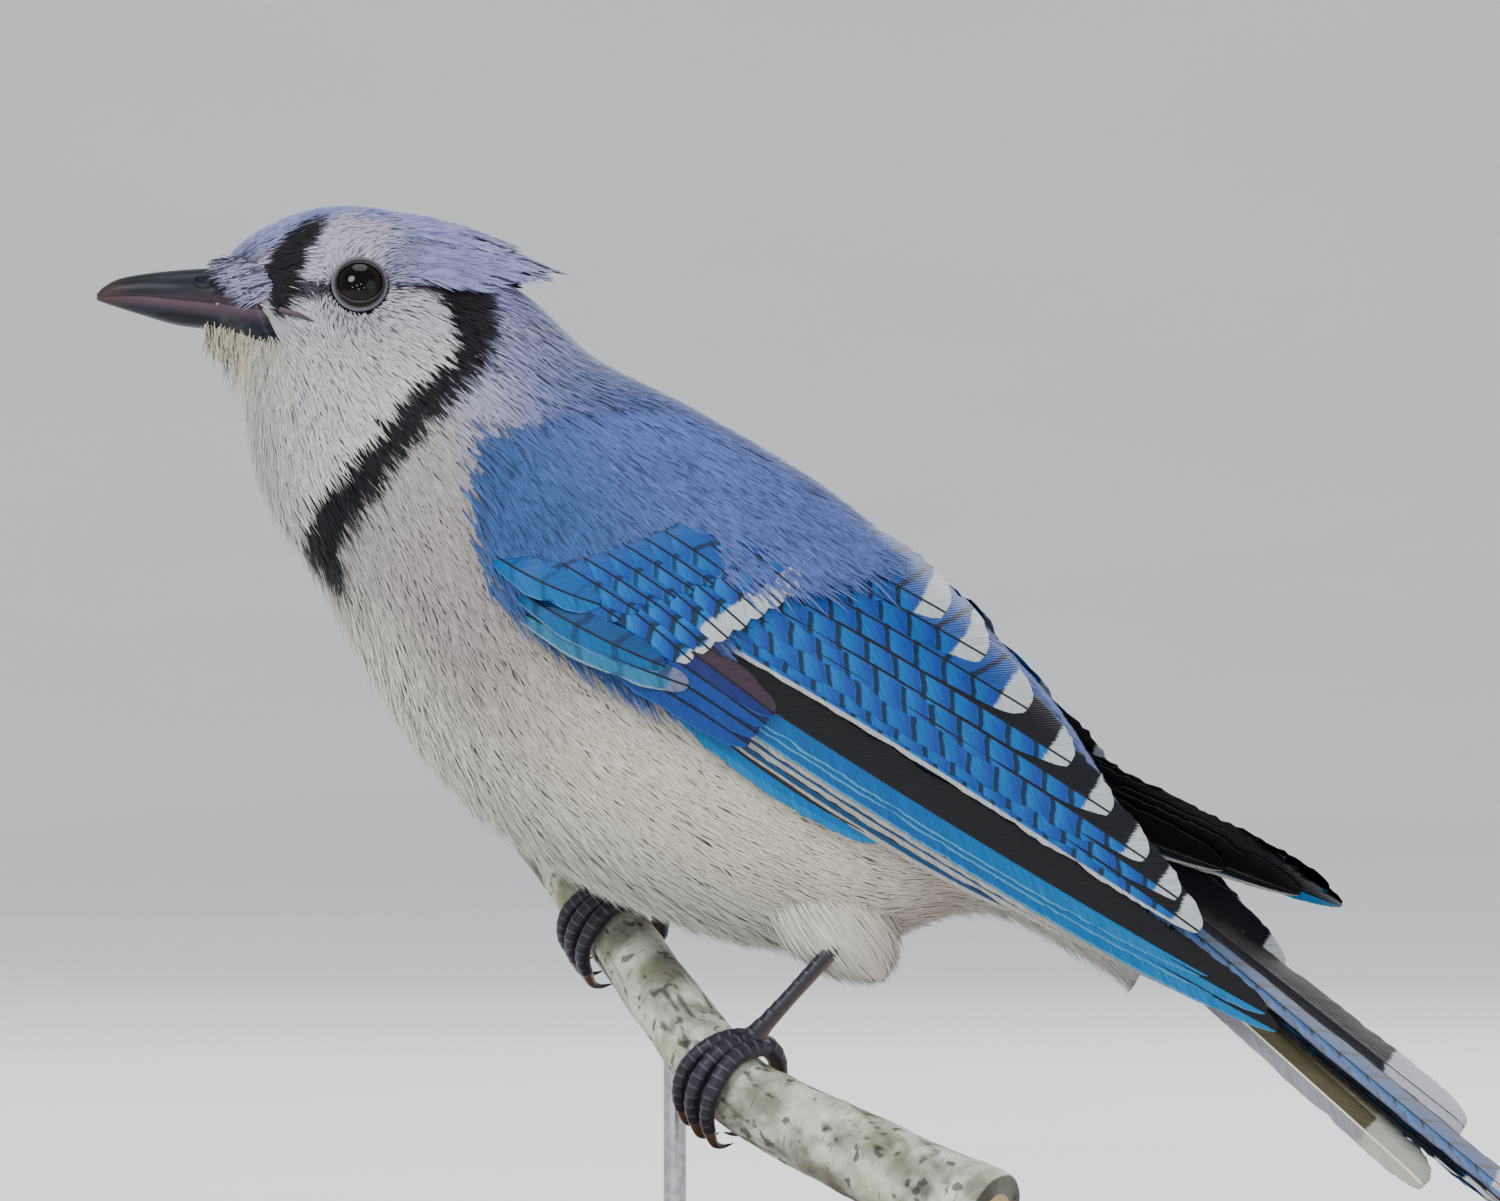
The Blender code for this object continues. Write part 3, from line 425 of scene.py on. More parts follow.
def tufts(name, paths, normals, widths, colours, unwrap, look, shape=(0.75, 1.0, 0.8),
          shade=(0.72, 0.95, 1.0, 1.06)):
    """Thin closed tapered tufts along paths (count, rings + 1, 3), in pieces of bounded size."""
    count, steps, _ = paths.shape
    rings = steps - 1
    room = PIECE_LIMIT // (1 + (rings - 1) * 6 + 3)
    faces = [(0, 2, 1)]
    for k in range(rings - 1):
        for j in range(3):
            a = 3 * k + j
            b = 3 * k + (j + 1) % 3
            faces += [(a, b, b + 3), (a, b + 3, a + 3)]
    end = 3 * (rings - 1)
    faces += [(end + j, end + (j + 1) % 3, 3 * rings) for j in range(3)]
    along = np.append(np.repeat(np.arange(rings) / rings, 3), 1.0)
    # Tone along each tuft from the shade table: darker towards the root as painted shade where the tufts
    # overlap, a touch lighter at the tip
    tone = np.interp(along, np.linspace(0, 1, len(shade)), shade)
    sideways = np.append(np.tile((-0.5, 0.0, 0.5), rings), 0.0)
    profile = np.interp(np.linspace(0, 1, rings), np.linspace(0, 1, len(shape)), shape)
    pieces = []
    for part, first in enumerate(range(0, count, room)):
        chosen = slice(first, min(first + room, count))
        path = paths[chosen]
        number = len(path)
        forward = unit(path[:, -1] - path[:, 0])
        across = unit(np.cross(normals[chosen], forward))
        lift = np.cross(forward, across)
        width = widths[chosen][:, None, None] * profile[None, :, None] / 2
        body = path[:, :rings]
        block = np.stack([body - across[:, None] * width, body + lift[:, None] * width * 0.6,
                          body + across[:, None] * width], axis=2).reshape(number, rings * 3, 3)
        points = np.concatenate([block, path[:, -1:]], axis=1).reshape(-1, 3)
        base = np.arange(number)[:, None, None] * (3 * rings + 1)
        triangles = (np.array(faces)[None] + base).reshape(-1, 3)[:, ::-1]
        made = make_object("%s_%d" % (name, part + 1), points, triangles, look)
        # Each tuft's colour times its tone, so the painted root shade is stored in the colours
        tint = colours[chosen][:, None, :] * tone[None, :, None]
        set_colours(made, tint.reshape(-1, 3))
        local = np.stack([sideways, along - 0.5], axis=-1) * PATCH
        corners = unwrap[chosen][:, None, :] + local[None]
        set_bake_map(made, np.clip(corners, 0.0, 1.0).reshape(-1, 2))
        # Shade the tufts mostly by the body under them, as soft feathers are
        hair = np.stack([lift - 0.8 * across, lift, lift + 0.8 * across], axis=1)
        hair = np.concatenate([np.tile(hair, (1, rings, 1)), lift[:, None]], axis=1)
        soft = unit(normals[chosen][:, None] * BODY_SOFTNESS + unit(hair) * (1 - BODY_SOFTNESS))
        made.data.normals_split_custom_set_from_vertices(soft.reshape(-1, 3))
        pieces.append(made)
    return pieces


def body_unwrap(at, angle):
    """Place on an unwrap of the body's own shape, along by around."""
    last = len(BODY) - 1
    return np.stack([0.02 + 0.96 * at / last, 0.02 + 0.96 * (angle % (2 * math.pi)) / (2 * math.pi)], -1)


def body_frame(at, angle):
    """Derivatives of the body's surface along and around, and its outward normal."""
    step = 0.02
    along = (section(BODY, at + step, angle) - section(BODY, at - step, angle)) / (2 * step)
    around = (section(BODY, at, angle + step) - section(BODY, at, angle - step)) / (2 * step)
    normal = unit(np.cross(along, around))
    outward = section(BODY, at, angle) - section(BODY, at, angle, -3.0)
    flip = np.sign((normal * outward).sum(-1))
    return along, around, normal * flip[..., None]


def scatter(start, end, density, rows=320, sides=180):
    """Random body coordinates between two rows, with a given number per square millimetre."""
    at = np.linspace(start, end, rows)
    angle = np.linspace(0, 2 * math.pi, sides)
    grid_at, grid_angle = np.meshgrid(at, angle, indexing="ij")
    points = section(BODY, grid_at, grid_angle)
    first = points[1:, :-1] - points[:-1, :-1]
    second = points[:-1, 1:] - points[:-1, :-1]
    area = np.linalg.norm(np.cross(first, second), axis=-1)
    middle_at = (grid_at[:-1, :-1] + grid_at[1:, 1:]) / 2
    middle_angle = (grid_angle[:-1, :-1] + grid_angle[1:, 1:]) / 2
    number = draw.poisson(area * density(middle_at, middle_angle))
    cells = np.repeat(np.arange(number.size), number.ravel())
    low_at = grid_at[:-1, :-1].ravel()[cells]
    low_angle = grid_angle[:-1, :-1].ravel()[cells]
    at = low_at + draw.random(len(cells)) * (end - start) / (rows - 1)
    angle = low_angle + draw.random(len(cells)) * 2 * math.pi / (sides - 1)
    return at, angle


def eye_axis(side):
    """Outward direction of one eye, square to the face."""
    slopes = []
    for axis in range(2):
        offset = np.zeros(2)
        offset[axis] = 0.8
        change = depth(BODY, (EYE_CENTRE + offset)[None]) - depth(BODY, (EYE_CENTRE - offset)[None])
        slopes.append(change[0] / 1.6)
    return unit(np.array((-slopes[0], side, -slopes[1])))


def eye_on_skin(side):
    return np.array((EYE_CENTRE[0], side * depth(BODY, EYE_CENTRE[None])[0], EYE_CENTRE[1]))


def eye_middle(side):
    sink = math.sqrt(EYE_RADIUS ** 2 - EYE_OPENING ** 2) + EYE_SINK
    return eye_on_skin(side) - eye_axis(side) * sink


# Bare side of the lower mandible, where no feathers grow
GAPE = ((-78.2, 153.4), (-73.8, 152.7), (-70.1, 152.2), (-67.0, 151.7), (-66.2, 150.6),
    (-66.6, 148.1), (-67.6, 147.4), (-70.1, 148.4), (-74.2, 149.1), (-78.9, 149.2))
# Forward-pointing bristles over the nostril take the place of the coat here
NASAL = ((-78.9, 160.5), (-73.8, 160.1), (-70.1, 157.9), (-68.7, 155.4), (-69.3, 153.0),
    (-73.8, 152.9), (-78.9, 152.9))
SCAPULARS = ((-38.9, 132.0), (-28.2, 135.8), (-16.9, 137.9), (-5.6, 135.8), (4.2, 130.6),
    (12.7, 124.7), (17.5, 120.8), (15.8, 119.2), (11.0, 117.4), (5.6, 116.0),
    (-1.1, 116.0), (-6.2, 118.5), (-12.7, 121.9), (-19.7, 123.6), (-28.2, 122.5),
    (-35.9, 121.3), (-38.9, 125.3))
SCAPULAR_RISE = 6.3
EDGE_JITTER = 1.3
GAPE_JITTER = 0.5
# Tufts may reach over the mandible's side only behind here
GAPE_REAR = -68.5


def coat_depth(at):
    """Depth of the coat over the skin, deepest on the body."""
    return 0.6 + 0.9 * smooth(at, 1.0, 4.0) + 0.6 * smooth(at, 6.0, 9.0)


def speckled(colours, at):
    """Dark hair-like streaks among the blue feathers and a little variety everywhere."""
    streak = draw.random(len(at))
    bluish = colours[:, 2] > colours[:, 0] * 1.3
    dim = np.where(bluish & (streak < 0.13) & (at > 4.0), 0.45, 1.0)
    dim = np.where(bluish & (streak < 0.06) & (at <= 4.0), 0.6, dim)
    dim = np.where(~bluish & (streak < 0.03), 0.62, dim)
    light = bluish & (streak > 0.8)
    tinted = colours * (dim * draw.uniform(0.92, 1.08, len(at)))[:, None]
    return np.where(light[:, None], tinted * 1.22, tinted)


def body_coat(look):
    """Small feathers over the head, neck and body."""
    def density(at, angle):
        head = 1 - smooth(at, 3.4, 5.0)
        points = section(BODY, at, angle)
        profile = points[..., (0, 2)].reshape(-1, 2)
        hidden = inside(profile, SCAPULARS).reshape(at.shape)
        covered = np.where(hidden & (np.abs(points[..., 1]) > 6), HIDDEN_SHARE, 1.0)
        wing_zone = (points[..., 0] > -8) & (np.abs(points[..., 1]) > 8) & (
            points[..., 2] > 88 - 0.62 * points[..., 0]) & (points[..., 2] < 118 - 0.7 * points[..., 0])
        covered = np.where(wing_zone, HIDDEN_SHARE, covered)
        return (BODY_DENSITY + (HEAD_DENSITY - BODY_DENSITY) * head) * covered

    at, angle = scatter(0.02, 15.9, density)
    root = section(BODY, at, angle)
    along, around, normal = body_frame(at, angle)
    left = np.sin(angle) >= 0
    down_way = unit(around) * np.where(left, 1.0, -1.0)[:, None]
    back_way = unit(along)
    profile = root[:, (0, 2)]
    _, down, _ = locate(BODY, profile)
    head = 1 - smooth(at, 3.4, 5.0)
    lean = np.radians(22) * smooth(at, 5.0, 7.0) * np.sin(np.pi * np.clip(down * 1.5, 0, 1))
    lean = lean + np.radians(7 + 3 * (1 - head)) * draw.standard_normal(len(at))
    # The throat's feathers hang a little more steeply than the cheek's
    lean = lean - np.radians(12) * head * smooth(down, 0.5, 0.9) * (1 - smooth(at, 1.0, 3.0))
    way = back_way * np.cos(lean)[:, None] + down_way * np.sin(lean)[:, None]
    eye_gap = np.full(len(at), 1e9)
    for side in (-1, 1):
        away = root - eye_on_skin(side)
        gap = np.linalg.norm(away, axis=1)
        eye_gap = np.minimum(eye_gap, gap)
        weight = (1 - smooth(gap, 4.0, 9.5))[:, None] * 1.3
        way = unit(way + unit(away) * weight)
    length = 2.1 + 3.6 * smooth(at, 3.2, 6.0) + 1.6 * smooth(at, 8.0, 11.0)
    length = length + 1.6 * smooth(down, 0.7, 1.0) * smooth(at, 1.0, 3.0) * head
    near_bill = 1 - smooth(at, 0.0, 1.4)
    length = length * (1 - 0.35 * near_bill) * (0.45 + 0.55 * smooth(eye_gap, 4.2, 8.0))
    length = length * draw.uniform(0.75, 1.3, len(at))
    width = (0.19 + 0.22 * smooth(at, 3.2, 6.0)) * draw.uniform(0.75, 1.25, len(at))
    width = width * (1 - 0.2 * near_bill)
    coat = coat_depth(at)
    pose = way * length[:, None]
    g11 = (along * along).sum(1)
    g12 = (along * around).sum(1)
    g22 = (around * around).sum(1)
    b1 = (along * pose).sum(1)
    b2 = (around * pose).sum(1)
    det = g11 * g22 - g12 * g12 + 1e-9
    step_at = (g22 * b1 - g12 * b2) / det
    step_angle = np.clip((g11 * b2 - g12 * b1) / det, -0.5, 0.5)
    fluff = draw.uniform(-0.25, 0.3, len(at)) * (0.3 + 0.7 * smooth(at, 2.0, 6.0))
    # Wispy edge along the belly and the throat
    loose = (smooth(down, 0.86, 0.99) * smooth(at, 0.8, 2.0) * draw.random(len(at)) ** 3)
    fluff = fluff + 1.5 * loose
    paths = []
    for t in (0.0, 0.5, 1.0):
        rise = -coat * (1 - t) ** 1.6 + fluff * t
        paths.append(section(BODY, np.clip(at + step_at * t, 0, 15.99), angle + step_angle * t, rise))
    paths = np.stack(paths, axis=1)
    tip_gap = np.minimum(*[np.linalg.norm(paths[:, -1] - eye_on_skin(s), axis=1) for s in (-1, 1)])
    keep = (eye_gap > 3.85) & (tip_gap > 3.85)
    tips = paths[:, -1][:, (0, 2)]
    loose_root = profile + draw.standard_normal(profile.shape) * GAPE_JITTER
    keep &= ~inside(loose_root, GAPE) & ~inside(profile, NASAL)
    keep &= ~(inside(tips, GAPE) & (tips[:, 0] < GAPE_REAR))
    seen = paths[:, 0] * 0.3 + paths[:, -1] * 0.7
    colours = speckled(plumage(seen, draw.standard_normal(len(at))), at)
    return tufts("coat_body", paths[keep], normal[keep], width[keep], colours[keep],
                 body_unwrap(at, angle)[keep], look)


def shoulder_height(spots, turn, scapular):
    """Height of the shoulder, and of the scapulars where they cover the coverts' roots."""
    back = smooth(spots[:, 0], -18.0, -4.0) * SCAPULAR_RISE * scapular
    return np.maximum(dome(spots, turn), back)


def shoulder_coat(side, look):
    """Scapulars and small wing coverts, over the dome of one folded wing."""
    turn = 0.0 if side < 0 else FAR_WING_TURN * 0.5
    corner_low = np.array((-44.0, 98.0))
    corner_high = np.array((20.0, 138.0))
    count = int(SHOULDER_DENSITY * np.prod(corner_high - corner_low))
    spots = corner_low + draw.random((count, 2)) * (corner_high - corner_low)
    ragged = spots + draw.standard_normal((count, 2)) * EDGE_JITTER
    held = inside(ragged, SCAPULARS)
    oval = (dome(ragged, turn) > SHOULDER_RIM + 0.25) & (spots[:, 0] < -8)
    _, down, _ = locate(BODY, spots)
    chosen = (held | oval) & (down > 0.03)
    spots = spots[chosen]
    scapular = held[chosen].astype(float)
    x, z = spots.T
    at, down, _ = locate(BODY, spots)
    lean = np.radians(np.interp(down, (0.0, 0.25, 0.5), (-30.0, -42.0, -55.0)))
    lean = lean + np.radians(7) * draw.standard_normal(len(spots))
    way = np.stack([np.cos(lean), np.sin(lean)], axis=1)
    length = draw.uniform(4.0, 8.5, len(spots))
    width = draw.uniform(0.3, 0.5, len(spots))
    rise = draw.uniform(-0.15, 0.4, len(spots))
    paths = []
    for t in np.linspace(0, 1, 4):
        here = spots + way * (length * t)[:, None]
        lift = shoulder_height(here, turn, scapular) - 1.3 * (1 - t) ** 1.5 + 0.25 + rise * t
        paths.append(on_flank(here, side, lift))
    paths = np.stack(paths, axis=1)
    step = np.array((0.0, 0.6))
    across = (on_flank(spots + step, side, shoulder_height(spots + step, turn, scapular))
              - on_flank(spots - step, side, shoulder_height(spots - step, turn, scapular)))
    normal = unit(np.cross(across, paths[:, -1] - paths[:, 0]))
    normal *= np.where(normal[:, 1] * side < 0, -1.0, 1.0)[:, None]
    blue = smooth(-x, 6.0, 30.0) * smooth(down, 0.12, 0.4)
    colours = speckled(blend(np.tile(MANTLE, (len(spots), 1)), SHOULDER, blue), at + 4)
    sheet = np.stack([0.02 + 0.45 * (x + 46) / 68, 0.02 + 0.96 * (z - 96) / 44], axis=-1)
    if side > 0:
        sheet[:, 0] += 0.5
    name = "coat_shoulder_left" if side < 0 else "coat_shoulder_right"
    return tufts(name, paths, normal, width, colours, sheet, look)


# Thighs: centre, radii and turn about the Y axis
THIGHS = {
    "left": (np.array((8.0, -9.8, 69.4)), (12.6, 5.8, 7.4), 42.0),
    "right": (np.array((-5.5, 17.0, 77.5)), (11.0, 6.5, 7.5), 38.0),
}
THIGH_TUFTS = 5200


def thigh_coat(which, look):
    """Short pale feathers over one thigh, lying towards the ankle."""
    centre, radii, turn = THIGHS[which]
    radii = np.array(radii)
    c = math.cos(math.radians(turn))
    s = math.sin(math.radians(turn))
    rotate = np.array(((c, 0.0, s), (0.0, 1.0, 0.0), (-s, 0.0, c)))
    sphere = unit(draw.standard_normal((THIGH_TUFTS, 3)))
    length = draw.uniform(4.5, 10.0, THIGH_TUFTS)
    fluff = draw.uniform(-0.4, 1.3, THIGH_TUFTS)
    flow = np.array((1.0, 0.0, -0.25))
    tangent = flow - sphere * (sphere @ flow)[:, None]
    paths = []
    for t in (0.0, 0.5, 1.0):
        here = unit(sphere + tangent * (length * t / 10)[:, None])
        rise = -1.2 * (1 - t) ** 1.5 + fluff * t
        fall = (0.2 * t ** 2 * length)[:, None] * np.array((0.5, 0.0, -0.87))
        paths.append(centre + (here * (radii + rise[:, None])) @ rotate.T + fall)
    paths = np.stack(paths, axis=1)
    normal = unit((sphere / radii) @ rotate.T)
    colours = plumage(paths[:, 1], draw.standard_normal(THIGH_TUFTS))
    colours = colours * draw.uniform(0.9, 1.05, THIGH_TUFTS)[:, None]
    low = paths[:, 0, 2] < centre[2] + 4
    at, _, _ = locate(BODY, paths[:, 0][:, (0, 2)])
    angle = np.where(paths[:, 0, 1] < 0, 2.2, 4.0) + 0.2 * sphere[:, 1]
    width = draw.uniform(0.32, 0.5, THIGH_TUFTS)
    return tufts("coat_thigh_" + which, paths[low], normal[low], width[low], colours[low],
                 body_unwrap(at, angle)[low], look)


# Long feathers

ROW_STEP = 1.2
ACROSS = np.array((-1.0, -0.94, -0.8, -0.6, -0.4, -0.2, -0.06, 0.0, 0.06, 0.2, 0.4, 0.6, 0.8, 0.94, 1.0))
VANE_THICKNESS = 0.14
SHAFT_RISE = 0.14
CAMBER = 0.4


def rounded(t, last, blunt=0.5):
    """Width factor that rounds the last part of a vane."""
    s = np.clip((t - (1 - last)) / last, 0.0, 1.0)
    return np.maximum(1 - s ** 2, 0.0) ** blunt


def vane(centre, upward, widths, lift, place, seed, flip=False):
    """One closed vane: centre line, crosswise direction, (outer, inner) widths and heights."""
    rows = len(centre)
    t = np.linspace(0, 1, rows)
    rng = np.random.default_rng(SEED * 1000 + seed)
    notch = np.ones((rows, len(ACROSS)))
    for _ in range(rng.integers(2, 6)):
        spot = rng.uniform(0.3, 0.97)
        lower = rng.random() < 0.5
        cut = rng.uniform(0.05, 0.2) * np.exp(-((t - spot) * rows / rng.uniform(0.6, 1.5)) ** 2)
        edge = (np.abs(ACROSS) > 0.9) & ((ACROSS < 0) == lower)
        notch[:, edge] -= cut[:, None]
    notch[:, np.abs(ACROSS) > 0.9] += 0.03 * rng.standard_normal((rows, 1))
    width = np.where(ACROSS[None] < 0, widths[0][:, None], widths[1][:, None])
    offset = ACROSS[None] * width * notch
    run = unit(np.gradient(centre, axis=0))
    spots = centre[:, None] + upward[:, None] * offset[..., None] + run[:, None] * (
        np.abs(offset) * 0.3)[..., None]
    camber = CAMBER * (1 - ACROSS ** 2) + SHAFT_RISE * np.exp(-(ACROSS / 0.05) ** 2)
    ripple = 0.05 * np.sin(t[:, None] * rows * 0.5 + rng.uniform(0, 6)) * ACROSS[None] ** 2
    height = lift[:, None] + camber[None] * np.minimum(width / 3.0, 1.0) + ripple
    flat = spots.reshape(-1, spots.shape[-1])
    upper = place(flat, height.ravel())
    under = place(flat, height.ravel() - VANE_THICKNESS)
    columns = len(ACROSS)
    number = rows * columns
    top = grid_triangles(rows, columns)
    rim = np.concatenate([np.arange(columns), columns * np.arange(2, rows + 1) - 1,
                          number - 2 - np.arange(columns - 1), columns * np.arange(rows - 2, 0, -1)])
    after = np.roll(rim, -1)
    sides = np.concatenate([np.stack([rim, rim + number, after], -1),
                            np.stack([after, rim + number, after + number], -1)])
    steps = np.linalg.norm(np.diff(centre, axis=0), axis=1)
    reach = np.append(0.0, np.cumsum(steps))
    along = np.repeat(reach, columns)
    sign = -1.0 if flip else 1.0
    trait = np.stack([along, sign * offset.ravel(), reach[-1] - along], axis=-1)
    edge = np.stack([sign * np.tile(ACROSS, rows), np.full(number, float(seed)),
                     np.full(number, rng.random())], -1)
    return (np.vstack([upper, under]), np.concatenate([top, top[:, ::-1] + number, sides]),
            np.vstack([trait, trait]), np.vstack([edge, edge]))


def joined(name, parts, look):
    """One piece made of several closed vanes."""
    total = 0
    faces = []
    for part in parts:
        faces.append(part[1] + total)
        total += len(part[0])
    made = make_object(name, np.vstack([p[0] for p in parts]), np.vstack(faces), look)
    set_vectors(made, np.vstack([p[2] for p in parts]), "vane")
    set_vectors(made, np.vstack([p[3] for p in parts]), "edge")
    outward(made)
    return made


# Wing feathers, lowest first. Shapes: outer and inner half width, bow, rounded end
PRIMARIES = (
    ((17, 77.6), (2.3, 4.4, -1.6, 0.35), "primary_first"),
    ((41, 66), (2.2, 4.6, -1.6, 0.35), "primary_pale"),
    ((57, 58.3), (2.2, 4.6, -1.6, 0.35), "primary_pale"),
    ((67, 53.3), (2.2, 4.6, -1.6, 0.35), "primary_pale"),
    ((72.5, 50.9), (2.5, 4.6, -1.6, 0.35), "primary_blue"),
    ((71, 53.4), (2.5, 4.6, -1.4, 0.35), "primary_blue"),
    ((63, 58.6), (2.5, 4.6, -1.2, 0.35), "primary_blue"),
)
PRIMARY_ROOTS = ((-16, 101.5), (-29, 116.5))
SECONDARIES = (
    ((61.5, 64.8), (2.3, 6.0, 2.0, 0.28), "secondary_first"),
    ((58.5, 69.5), (3.0, 6.0, 1.5, 0.3), "secondary"),
    ((54, 75), (3.5, 6.0, 1.0, 0.3), "secondary"),
    ((49, 81.5), (3.6, 6.0, 0.8, 0.3), "secondary"),
    ((43.5, 88.5), (3.6, 6.0, 0.8, 0.3), "secondary"),
    ((37.5, 96), (3.6, 6.0, 0.8, 0.3), "tertial"),
    ((31.5, 103.5), (3.6, 6.0, 0.8, 0.3), "tertial"),
    ((26, 109.5), (3.6, 5.6, 0.8, 0.3), "tertial"),
)
SECONDARY_ROOTS = ((-27, 119), (-8, 125.5))
FAR_SECONDARY_SHIFT = np.array((12.5, -5.8))
COVERT_ROOTS = ((-29, 118.5), (-9, 124))
COVERT_TIPS = ((-9.5, 102.8), (5.5, 112.3))
COVERT_COUNT = 7
MEDIAN_ROOTS = ((-34, 117.5), (-16, 122.5))
MEDIAN_TIPS = ((-19.5, 108.6), (-4.0, 114.5))
MEDIAN_COUNT = 7
PRIMARY_COVERT_ROOTS = ((-23.5, 104.5), (-18.5, 110))
PRIMARY_COVERT_TIPS = ((-1.5, 91.2), (2, 95.4))
PRIMARY_COVERT_COUNT = 4
ALULA = (
    ((-37, 117.5), (-22.1, 110.6), "lanceolate"),
    ((-33.5, 112.5), (-13.2, 102), "alula"),
    ((-33, 109.5), (-9.9, 99.3), "alula_long"),
)


def between(ends, count):
    """Evenly spaced points from the first end to the last."""
    ends = np.asarray(ends, dtype=float)
    t = (np.arange(count) / max(count - 1, 1))[:, None]
    return ends[0] * (1 - t) + ends[1] * t


def wing_vane(root, tip, shape, layer, side, turn, seed):
    """One flight feather or covert laid over the flank."""
    outer, inner, bow, last = shape
    root = np.asarray(root, dtype=float)
    tip = np.asarray(tip, dtype=float)
    if turn:
        root = turned(root, turn)
        tip = turned(tip, turn)
    length = np.linalg.norm(tip - root)
    rows = max(int(length / ROW_STEP), 16)
    t = 1 - (1 - np.linspace(0, 1, rows)) ** 1.25
    upward = np.array((-(tip - root)[1], (tip - root)[0])) / length
    if upward[1] < 0:
        upward = -upward
    centre = root * (1 - t)[:, None] + tip * t[:, None] + upward * (bow * 4 * t * (1 - t))[:, None]
    run = unit(np.gradient(centre, axis=0))
    up = np.stack([-run[:, 1], run[:, 0]], axis=1)
    up *= np.sign(up @ upward)[:, None]
    taper = 0.55 + 0.45 * np.minimum(t / 0.3, 1.0)
    end = rounded(t, last)
    widths = (outer * taper * end + 0.03, inner * taper * end + 0.03)
    sunk = np.minimum(layer, dome(root[None], turn)[0] * 0.6)
    lift = layer + (sunk - layer) * np.maximum(1 - t / 0.4, 0.0) ** 1.5
    return vane(centre, up, widths, lift, lambda p, h: on_flank(p, side, h), seed)


def wing(side, looks):
    """All the vanes of one folded wing, joined by look."""
    word = "left" if side < 0 else "right"
    turn = 0.0 if side < 0 else FAR_WING_TURN
    groups = {}

    def add(kind, *details):
        groups.setdefault(kind, []).append(wing_vane(*details))

    for k, (root, (tip, shape, kind)) in enumerate(zip(between(PRIMARY_ROOTS, len(PRIMARIES)), PRIMARIES)):
        add(kind, root, tip, shape, 0.6 + 0.36 * k, side, turn, k)
    last = len(SECONDARIES) - 1
    for k, (root, (tip, shape, kind)) in enumerate(zip(between(SECONDARY_ROOTS, last + 1), SECONDARIES)):
        tip = np.array(tip, dtype=float)
        if side > 0:
            tip = tip + FAR_SECONDARY_SHIFT * (1 - k / last)
        add(kind, root, tip, shape, 3.2 + 0.3 * k, side, 0.0, 20 + k)
    ends = zip(between(COVERT_ROOTS, COVERT_COUNT), between(COVERT_TIPS, COVERT_COUNT))
    for k, (root, tip) in enumerate(ends):
        add("covert" if k > 1 else "covert_low", root, tip, (2.6, 3.3, 0.3, 0.35),
            5.0 + 0.2 * k, side, turn, 40 + k)
    ends = zip(between(MEDIAN_ROOTS, MEDIAN_COUNT), between(MEDIAN_TIPS, MEDIAN_COUNT))
    for k, (root, tip) in enumerate(ends):
        add("median", root, tip, (2.0, 2.2, 0.2, 0.5), 5.3 + 0.16 * k, side, turn, 70 + k)
    roots = between(PRIMARY_COVERT_ROOTS, PRIMARY_COVERT_COUNT)
    tips = between(PRIMARY_COVERT_TIPS, PRIMARY_COVERT_COUNT)
    for k in range(PRIMARY_COVERT_COUNT):
        kind = "primary_covert" if k < PRIMARY_COVERT_COUNT - 1 else "primary_covert_brown"
        add(kind, roots[k], tips[k], (2.3, 2.6, 0.3, 0.4), 4.0 + 0.25 * k, side, turn, 50 + k)
    for k, (root, tip, kind) in enumerate(ALULA):
        add(kind, root, tip, (2.5, 2.7, -0.6, 0.5), 5.6 - 0.3 * k, side, turn, 60 + k)
    return [joined("%s_%s" % (kind, word), parts, looks[kind])
            for kind, parts in groups.items()]


TAIL_ROOT = np.array((20.6, 96.5))
TAIL_PITCH = math.radians(40)
TAIL_LENGTHS = (99, 107, 112, 115.5, 118.5, 120)
# Nearest first: sideways, height, roll, lower and upper half width, look
TAIL_SPREAD = (
    (-9.3, -5.2, 35, 2.7, 7.0, "tail_outer"), (-3.4, 0.5, 26, 3.2, 5.6, "tail"),
    (-3.2, 0.8, 25, 3.2, 5.6, "tail"), (-2.2, 1.6, 22, 3.8, 5.6, "tail"),
    (-1.4, 1.8, 20, 4.0, 5.6, "tail"), (-0.6, 2.0, 16, 5.4, 5.8, "tail_middle"),
    (0.8, 1.9, 20, 5.6, 5.6, "tail_middle"), (2.4, 1.9, 22, 6.0, 5.6, "tail"),
    (4.0, 1.8, 24, 6.2, 5.0, "tail"), (5.6, 1.6, 24, 6.4, 4.4, "tail"),
    (7.4, 2.0, 24, 6.6, 4.0, "tail"), (9.6, 4.9, 38, 6.6, 4.4, "tail_far"),
)
TAIL_GATHER = 0.35


